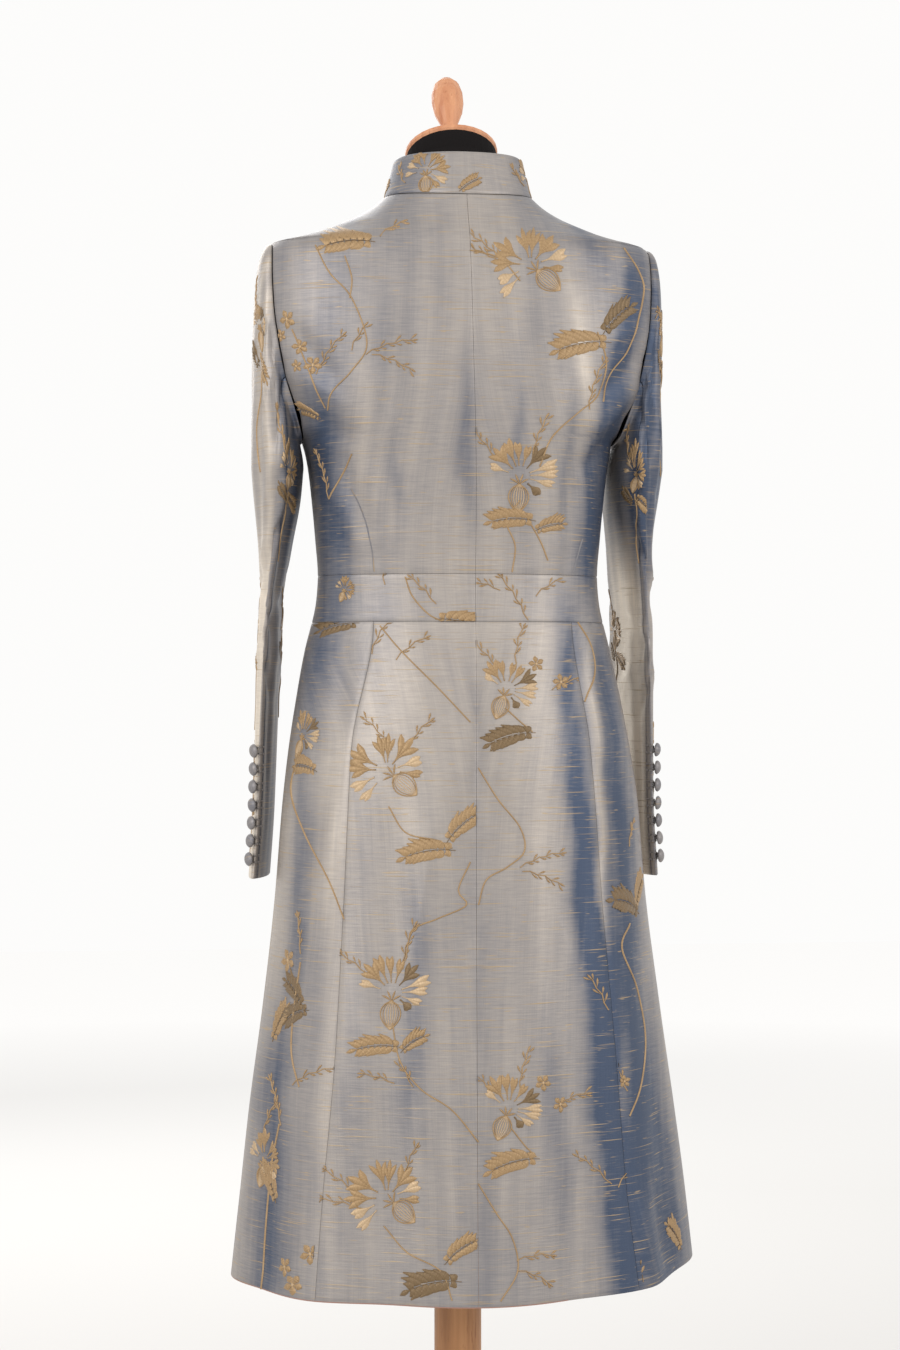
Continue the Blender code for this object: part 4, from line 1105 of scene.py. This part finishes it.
def along(x, y, turn, bend, reach, length):
    """The point at some reach along a line that bends evenly over its length."""
    steps = 8
    for step in range(steps):
        angle = math.radians(turn + bend * (step + 0.5) / steps * reach / length)
        x, y = x + math.sin(angle) * reach / steps, y - math.cos(angle) * reach / steps
    return x, y


def smooth(points, step):
    """Points along a smooth curve through given ones, about a step apart."""
    known = [np.array(point, dtype=float) for point in points]
    known = [2 * known[0] - known[1]] + known + [2 * known[-1] - known[-2]]
    path = []
    for a, b, c, d in zip(known, known[1:], known[2:], known[3:]):
        count = max(2, int(np.linalg.norm(c - b) / step))
        for index in range(count):
            t = index / count
            path.append(tuple(0.5 * (2 * b + (c - a) * t + (2 * a - 5 * b + 4 * c - d) * t * t
                                     + (3 * b - a - 3 * c + d) * t ** 3)))
    path.append(tuple(known[-2]))
    return path


def seen_at(px, py):
    """The cloth's angle and level at a pixel of the photograph, and metres to a pixel there."""
    y = 0.11
    for _ in range(5):
        nearer = CAMERA_DISTANCE - y * TOWARDS_CAMERA.y
        scale = METRES_PER_PIXEL * nearer / CAMERA_DISTANCE
        x = ((px - AXIS_X) * scale - y * PHOTO_RIGHT.y) / PHOTO_RIGHT.x
        level = min(max(CAMERA_Z + (PHOTO_HEIGHT / 2 - py) * scale, HEM_Z), NECKLINE_Z)
        ring = coat_ring(level)
        x = min(max(x, ring.mid - ring.half * 0.995), ring.half * 0.995)
        angle = angle_at(x, level)
        y = coat_point(angle, level).y
    return angle, level, scale


def to_front(angle):
    return math.copysign(math.pi, angle) - angle


def tangents(angle, level, front):
    """The cloth's point and outward direction, and the ways right and down along it."""
    point, normal = cloth_point(angle, level)
    rightward = Vector((-1, 0, 0)) if front else PHOTO_RIGHT
    across = (rightward - normal * normal.dot(rightward)).normalized()
    down = normal.cross(across)
    return point, normal, across, -down if down.z > 0 else down


def body_place(px, py, front=False):
    """The cloth's point seen at a pixel of the photograph, with its outward, right and down."""
    angle, level, scale = seen_at(px, py)
    if front:
        angle = to_front(angle)
        level = min(max(level, HEM_Z + 0.004), NECKLINE_Z - 0.002)
    point, normal, across, down = tangents(angle, level, front)
    slant = max(0.35, abs(across.dot(Vector((-1, 0, 0)) if front else PHOTO_RIGHT)))
    return point, normal, across * (scale / slant), down * (scale / max(0.5, abs(down.z)))


def seam_angles(angle, level):
    """The angles of the seams on each side of a place on the body."""
    side = 1 if angle > 0 else -1
    if level < WAIST_LOW_Z:
        edges = gore_edges(side, level)
    else:
        edges = [*back_edges(side, level), front_edges(side, level)[0], side * math.pi]
    pairs = [sorted(pair) for pair in zip(edges, edges[1:])]
    return min(pairs, key=lambda pair: max(pair[0] - angle, angle - pair[1]))


def side_place(px, py, front):
    """A placing on the coat's sides, measured along the cloth, and the seams that bound it."""
    angle, level, _ = seen_at(px, py)
    angle = to_front(angle) if front else angle
    reach = (coat_point(angle + 0.01, level) - coat_point(angle - 0.01, level)).length / 0.02
    per_angle = reach / METRES_PER_PIXEL * (1 if front else -1)

    def place(x, y):
        up = min(max(level - (y - py) * METRES_PER_PIXEL, HEM_Z + 0.002), NECKLINE_Z - 0.002)
        point, normal, across, down = tangents(angle + (x - px) / per_angle, up, front)
        return point, normal, across * METRES_PER_PIXEL, down * METRES_PER_PIXEL
    left, right = sorted(px + (edge - angle) * per_angle for edge in seam_angles(angle, level))
    ceiling = WAIST_LOW_Z if level < WAIST_LOW_Z else NECKLINE_Z
    floor = HEM_Z if level < WAIST_LOW_Z else WAIST_LOW_Z
    top = py - (ceiling - level) / METRES_PER_PIXEL + 2
    bottom = py + (level - floor) / METRES_PER_PIXEL - 3
    return place, (lambda y: left + 0.6, lambda y: right - 0.6, top, bottom)


STITCH_LIFT = 0.0003
STITCH_DOME = 0.0006
STITCH_COLUMNS = (-1, -0.5, 0.5, 1)


def lay_on(body, sketch, place, limits=None, blue=0.0):
    """Raise each stroke of a sketch on the cloth as a low pad of thread, cut off at the seams."""
    count = len(STITCH_COLUMNS)
    for path, widths, thread in sketch.strokes:
        points, weave, faces, cut = [], [], [], []
        length = 0.0
        for index, (here, width) in enumerate(zip(path, widths)):
            before, after = path[max(index - 1, 0)], path[min(index + 1, len(path) - 1)]
            run = (after[0] - before[0], after[1] - before[1])
            size = math.hypot(*run) or 1.0
            side = (-run[1] / size, run[0] / size)
            if index:
                length += math.dist(path[index - 1], here) * METRES_PER_PIXEL
            inside = kept_within(here, limits)
            point, normal, right, down = place(*inside)
            thick = STITCH_DOME * min(1.0, width / 1.2 + 0.25)
            for across in STITCH_COLUMNS:
                off = width * across
                wanted = (here[0] + side[0] * off, here[1] + side[1] * off)
                kept = kept_within(wanted, limits)
                cut.append(kept != wanted and inside != here)
                high = STITCH_LIFT + thick if abs(across) < 1 else -STITCH_LIFT
                points.append(point + right * (kept[0] - inside[0])
                              + down * (kept[1] - inside[1]) + normal * high)
                weave.append((length, off * METRES_PER_PIXEL))
        for index in range(len(path) - 1):
            for column in range(count - 1):
                a = index * count + column
                face = (a, a + 1, a + count + 1, a + count)
                if not all(cut[corner] for corner in face):
                    faces.append(face)
        body.add(points, faces, weave, [blue] * len(points), thread)


def kept_within(pixel, limits):
    """A place of the sketch drawn back inside its panel's seams."""
    if limits is None:
        return pixel
    left, right, top, bottom = limits
    y = min(max(pixel[1], top), bottom)
    return min(max(pixel[0], left(y)), right(y)), y


def pixel_of(point):
    """Where the camera sees a point, in pixels of the photograph."""
    nearer = CAMERA_DISTANCE - point.dot(TOWARDS_CAMERA)
    scale = METRES_PER_PIXEL * nearer / CAMERA_DISTANCE
    return (AXIS_X + point.dot(PHOTO_RIGHT) / scale,
            PHOTO_HEIGHT / 2 - (point.z - CAMERA_Z) / scale)


def seam_line(angle_of, inset):
    """A seam's sideways place in the photograph by height, drawn in by a little."""
    seen = [pixel_of(coat_point(angle_of(level), level))
            for level in spread(NECKLINE_Z, HEM_Z, 60)]
    xs, ys = [x + inset for x, _ in seen], [y for _, y in seen]
    return lambda y: float(np.interp(y, ys, xs))


# Heights of the neck, the waistband's edges and the hem in the photograph
NECK_Y, WAIST_TOP_Y, WAIST_BOTTOM_Y, HEM_Y = 200, 573, 622, 1306


def panel_limits(x, y):
    """The seams that bound the panel seen at a pixel."""
    seams = [lambda level: 1.45, lambda level: gore_edges(1, level)[1],
             lambda level: gore_edges(1, level)[0], lambda level: gore_edges(-1, level)[1],
             lambda level: -1.45]
    if y < WAIST_TOP_Y:
        top, bottom = NECK_Y, WAIST_TOP_Y - 1
        seams = [lambda level: side_angle(level) - 0.03, seams[2],
                 lambda level: 0.03 - side_angle(level)]
    elif y < WAIST_BOTTOM_Y:
        top, bottom = WAIST_TOP_Y + 1, WAIST_BOTTOM_Y - 1
        seams = seams[::2]
    else:
        top, bottom = WAIST_BOTTOM_Y + 1, HEM_Y - 2
    for left, right in zip(seams, seams[1:]):
        low, high = seam_line(left, 0.6), seam_line(right, -0.6)
        if low(y) <= x <= high(y):
            return low, high, top, bottom
    return None


# Places in the photograph, turns in degrees from upright, and sizes in millimetres
Motif = namedtuple("Motif", "kind x y turn size")
BACK_MOTIFS = [Motif(*row) for row in (
    ("fan", 531, 264, -50, 80), ("carnation", 520, 476, 4, 76), ("fan", 387, 770, -50, 80),
    ("carnation", 390, 992, 4, 76), ("fan", 384, 1196, -50, 80), ("carnation", 506, 690, 20, 64),
    ("carnation", 508, 1110, 20, 68), ("carnation", 304, 735, 20, 48), ("fan", 262, 1156, 8, 56),
    ("fan", 345, 590, 20, 26),
)]
BACK_MOTIFS += [Motif("leaf", *row) for row in (
    (372, 243, -82, 56), (605, 330, 32, 46), (608, 340, -86, 60), (533, 520, -78, 50),
    (536, 530, 62, 34), (438, 619, 88, 52), (357, 623, -88, 44), (452, 850, -84, 58),
    (448, 840, 34, 46), (397, 1046, -78, 50), (400, 1050, 44, 34), (458, 1281, -84, 62),
    (446, 1262, 40, 44), (532, 733, -90, 52), (536, 1160, -90, 56), (642, 914, -58, 60),
    (640, 908, 30, 44), (316, 770, -70, 44), (302, 1002, -44, 46), (272, 1036, 14, 44),
    (308, 1008, -96, 46), (272, 1196, -30, 46), (686, 1262, -24, 44), (318, 420, -54, 30),
)]
BACK_MOTIFS += [Motif("twig", *row) for row in (
    (380, 238, 50, 26), (496, 258, -62, 54), (505, 262, -42, 48), (366, 356, 62, 48),
    (372, 356, 102, 40), (317, 376, 24, 46), (352, 352, 22, 26), (496, 458, -32, 40),
    (534, 456, 10, 40), (590, 408, 8, 50), (385, 585, -4, 40), (436, 604, -34, 34), (528, 620, -22, 50),
    (536, 596, 48, 26), (500, 590, -60, 20), (330, 500, -6, 46), (372, 654, 18, 34), (396, 660, 44, 36),
    (498, 668, -36, 40), (516, 664, 2, 36), (552, 690, 60, 26), (392, 750, -30, 40), (408, 748, 30, 34),
    (520, 868, 62, 44), (522, 872, 100, 40), (366, 972, -42, 30), (402, 968, 6, 44),
    (392, 1082, -62, 30), (412, 1086, -24, 26), (494, 1096, -34, 36), (520, 1090, 4, 38),
    (560, 1108, 58, 30), (360, 1206, -64, 36), (354, 1190, -40, 34), (402, 1180, 12, 36),
    (516, 1262, 74, 36), (517, 1272, 104, 34), (632, 848, 24, 26), (608, 1012, -18, 34),
    (626, 1094, -20, 54), (612, 1188, -36, 42), (618, 1192, 30, 34), (640, 1290, -12, 40),
    (300, 952, -6, 36), (292, 1082, 58, 52), (278, 1122, -22, 48), (262, 1130, 16, 34),
)]
BACK_MOTIFS += [Motif("blossom", *row) for row in (
    (288, 322, 0, 18), (282, 338, 0, 12), (300, 349, 0, 15), (313, 367, 0, 17), (298, 368, 0, 12),
    (536, 664, 0, 15), (561, 682, 0, 16), (543, 1084, 0, 16), (562, 1106, 0, 16), (286, 958, 0, 22),
    (623, 1084, 0, 12), (314, 1250, 0, 20), (296, 1280, 0, 20), (286, 1262, 0, 18),
)]

BACK_VINES = (
    ((316, 248), (330, 275), (352, 300), (367, 345), (352, 372), (334, 392), (328, 412)),
    ((345, 258), (352, 280), (350, 300)),
    ((470, 250), (500, 258), (520, 280)),
    ((625, 245), (640, 268), (646, 290), (638, 320), (628, 350), (612, 372), (604, 400)),
    ((598, 330), (607, 360), (600, 392), (578, 412), (552, 436), (540, 466)),
    ((520, 500), (506, 520), (515, 545), (512, 572)),
    ((524, 512), (540, 540), (548, 560)),
    ((405, 577), (412, 596), (428, 614), (442, 621)),
    ((380, 626), (402, 652), (440, 690), (470, 722)),
    ((352, 455), (340, 480), (330, 500)),
    ((388, 806), (405, 832), (436, 840), (452, 848)),
    ((470, 862), (458, 890), (466, 905), (438, 918), (412, 930), (404, 960)),
    ((478, 768), (498, 800), (520, 828), (524, 852), (506, 868), (486, 880), (478, 905)),
    ((390, 1022), (398, 1060), (420, 1088), (452, 1110), (478, 1142)),
    ((380, 1224), (404, 1250), (440, 1270), (452, 1300)),
    ((478, 1184), (496, 1214), (512, 1240), (517, 1272), (500, 1302)),
    ((505, 708), (520, 722), (532, 732)),
    ((510, 1128), (524, 1146), (536, 1158)),
    ((578, 622), (592, 650), (594, 672), (585, 702)),
    ((632, 925), (622, 950), (640, 992), (650, 1040), (642, 1086), (628, 1120)),
    ((300, 752), (292, 790), (305, 832), (330, 880), (345, 918)),
    ((300, 960), (292, 1010), (290, 1050), (300, 1084)),
    ((276, 1120), (268, 1160), (262, 1220), (258, 1284)),
    ((326, 410), (316, 386), (304, 360), (292, 332)),
)
DARTS = (
    ((350, 490), (358, 506), (365, 524), (371, 548), (374, 572)),
    ((583, 538), (580, 548), (577, 560), (574, 572)),
)

# Motifs further round than this sine of the body's angle are laid along the cloth
ON_SIDE = 0.80


def drawn(motif):
    """The sketch of one motif."""
    sketch = Sketch()
    x, y, turn, size = motif.x, motif.y, motif.turn, motif.size
    if motif.kind == "leaf":
        sketch.leaf(x, y, turn, size, size * 0.38, int(x + y) % 3 // 2, 34 if turn > 0 else -34)
    elif motif.kind == "twig":
        sketch.twig(x, y, turn, size, 22 if turn > 0 else -22)
    elif motif.kind == "blossom":
        sketch.blossom(x, y, size)
    else:
        getattr(sketch, motif.kind)(x, y, turn, size)
    return sketch


def embroider(front):
    """Every vine and motif, laid on the back or mirrored to the front."""
    body = Mesh()
    for vine in BACK_VINES:
        sketch = Sketch()
        sketch.stem(vine)
        lay_on(body, sketch, lambda x, y: body_place(x, y, front))
    for motif in BACK_MOTIFS:
        if abs(math.sin(seen_at(motif.x, motif.y)[0])) > ON_SIDE:
            place, limits = side_place(motif.x, motif.y, front)
            lay_on(body, drawn(motif), place, limits)
        else:
            limits = panel_limits(motif.x, motif.y)
            lay_on(body, drawn(motif), lambda x, y: body_place(x, y, front), limits)
    return body


def sleeve_place(side, centre_turn, level):
    """Lays a sketch on a sleeve round a turn and a height, x and y in millimetres."""
    def place(px, py):
        z = level - py * METRES_PER_PIXEL
        turn = centre_turn + side * px * METRES_PER_PIXEL / ARM_RADIUS

        def at(by_turn, height):
            height = max(height, CUFF_Z)
            if height > SLEEVE_TOP_Z:
                seam = armhole_point(side, by_turn)[0].z
                t = min(max((seam - height) / max(seam - SLEEVE_TOP_Z, 0.01), 0), 1)
                return head_point(side, by_turn, t ** 0.8)
            return hanging_point(side, by_turn, height)
        point = at(turn, z)
        around = at(turn + 0.03, z) - at(turn - 0.03, z)
        down = at(turn, z - 0.002) - at(turn, z + 0.002)
        normal = (around.cross(down) * -side).normalized()
        point = point + normal * sleeve_fold(side, turn, point.z)
        return (point, normal, around.normalized() * side * METRES_PER_PIXEL,
                down.normalized() * METRES_PER_PIXEL)
    return place


# Flowers of the sleeves: place round and height, kind, lean and size
SLEEVE_MOTIFS = (
    (40, 1.255, "carnation", -10, 46), (118, 1.155, "fan", 10, 40), (20, 1.010, "carnation", 12, 50),
    (285, 1.105, "fan", -6, 46), (270, 0.930, "carnation", 8, 46), (30, 0.860, "fan", -12, 44),
    (200, 1.000, "fan", 6, 40),
)
COLLAR_FLOWERS_X = (434, 566, 326, 622)
COLLAR_MIDDLE_X, COLLAR_FOOT_Y = 474, 195
COLLAR_RADIUS = 0.066
ARM_RADIUS = 0.05
STITCH_CREASE = 80


def make_embroidery():
    for name, front in (("back", False), ("front", True)):
        keep(embroider(front).make("embroidery_" + name, THREADS, STITCH_CREASE), "shot_silk")
    darts = Sketch()
    for dart in DARTS:
        darts.stem(dart, 1.5)
    body = Mesh()
    # Painted shade along the darts: their ridges take a share of blue.
    lay_on(body, darts, body_place, blue=0.6)
    lay_on(body, darts, lambda x, y: body_place(x, y, True), blue=0.6)
    keep(body.make("dart_edges", (SILK,), STITCH_CREASE), "shot_silk")
    for side, hand in SIDES:
        body = Mesh()
        for turn, level, kind, lean, size in SLEEVE_MOTIFS:
            small = Sketch()
            getattr(small, kind)(0, 0, lean, size)
            small.leaf(4, size * 0.6, 110, size * 0.7, size * 0.24)
            small.leaf(-4, size * 0.7, -60, size * 0.6, size * 0.2, 1)
            small.twig(-size * 0.2, -size * 0.2, -30, size * 0.8)
            small.stem(((0, size * 0.5), (6, size), (-4, size * 1.6), (3, size * 2.2)))
            lay_on(body, small, sleeve_place(side, math.radians(turn), level))
        keep(body.make("embroidery_sleeve_" + hand, THREADS, STITCH_CREASE), "shot_silk")
    body = Mesh()
    collar = Sketch()
    for x in COLLAR_FLOWERS_X:
        collar.fan(x, COLLAR_FOOT_Y - 23, -6, 52)
        collar.leaf(x + 34, COLLAR_FOOT_Y - 3, 42, 25, 11)
        collar.twig(x - 22, COLLAR_FOOT_Y - 11, -46, 22)

    def on_collar(px, py):
        angle = (COLLAR_MIDDLE_X - px) * METRES_PER_PIXEL / COLLAR_RADIUS
        share = min(max((COLLAR_FOOT_Y - py) * METRES_PER_PIXEL / COLLAR_HEIGHT, 0.03), 0.95)
        point, flat = collar_point(angle, share)
        across = Vector((-flat.y, flat.x, 0)) * METRES_PER_PIXEL
        return point, flat, across, Vector((0, 0, -METRES_PER_PIXEL))
    lay_on(body, collar, on_collar)
    keep(body.make("embroidery_collar", THREADS, STITCH_CREASE), "shot_silk")


make_embroidery()


def dress_node(name, material):
    """The form and the stand keep their solids' shapes."""
    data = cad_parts[name].data
    data.materials.clear()
    data.materials.append(material)
    data.shade_smooth()
    data.set_sharp_from_angle(angle=math.radians(38))


for name, material in (("dress_form", BLACK), ("neck_cap", TOP_WOOD), ("finial", TOP_WOOD),
                       ("post", POST_WOOD), ("stand_base", POST_WOOD)):
    dress_node(name, material)


def make_stage():
    """A pale floor, its colour painted lighter with distance so that it fades into the white round it.
    """
    bpy.ops.mesh.primitive_plane_add(size=14, location=(0, 0, -0.0005))
    floor = bpy.context.object
    floor.name = "floor"
    look = Look("pale_floor")
    place = look.node("TexCoord", output="Object")
    away = look.node("VectorMath", {0: place}, "Value", operation="LENGTH")
    colour = look.ramp(look.calc("MULTIPLY", away, 0.16), (0.04, (0.66, 0.645, 0.63)),
                       (0.40, (0.76, 0.75, 0.735)), (0.80, (0.985, 0.98, 0.975)))
    look.plug(look.shader, {"Base Color": colour, "Roughness": 1.0, "Specular IOR Level": 0.0})
    floor.data.materials.append(look.material)
    world = bpy.data.worlds.new("studio")
    bpy.context.scene.world = world
    world.use_nodes = True
    background = world.node_tree.nodes["Background"]
    background.inputs["Color"].default_value = (0.98, 0.975, 0.965, 1)
    background.inputs["Strength"].default_value = 1.0
    bpy.context.scene.view_settings.view_transform = "Standard"


LIGHT_AIM = Vector((0, 0, 0.95))
LIGHT_SIZE = 1.8


def add_light(name, place, power):
    light = bpy.data.lights.new(name, "AREA")
    light.size = LIGHT_SIZE
    light.energy = power
    lamp = bpy.data.objects.new(name, light)
    lamp.location = place
    lamp.rotation_euler = (LIGHT_AIM - Vector(place)).to_track_quat("-Z", "Y").to_euler()
    bpy.context.scene.collection.objects.link(lamp)


def make_camera():
    data = bpy.data.cameras.new("photo_camera")
    data.sensor_fit = "VERTICAL"
    data.sensor_height = 36
    view_height = PHOTO_HEIGHT * METRES_PER_PIXEL
    data.lens = data.sensor_height * CAMERA_DISTANCE / view_height
    data.dof.use_dof = False
    camera = bpy.data.objects.new("photo_camera", data)
    offset = (PHOTO_WIDTH / 2 - AXIS_X) * METRES_PER_PIXEL
    camera.location = (TOWARDS_CAMERA * CAMERA_DISTANCE + PHOTO_RIGHT * offset
                       + Vector((0, 0, CAMERA_Z)))
    camera.rotation_euler = (-TOWARDS_CAMERA).to_track_quat("-Z", "Y").to_euler()
    bpy.context.scene.collection.objects.link(camera)
    bpy.context.scene.camera = camera


make_stage()
add_light("soft_left", (2.4, 2.2, 2.2), 40)
add_light("soft_right", (-2.6, 2.0, 2.0), 26)
add_light("soft_front", (0.6, -2.6, 2.2), 26)
make_camera()
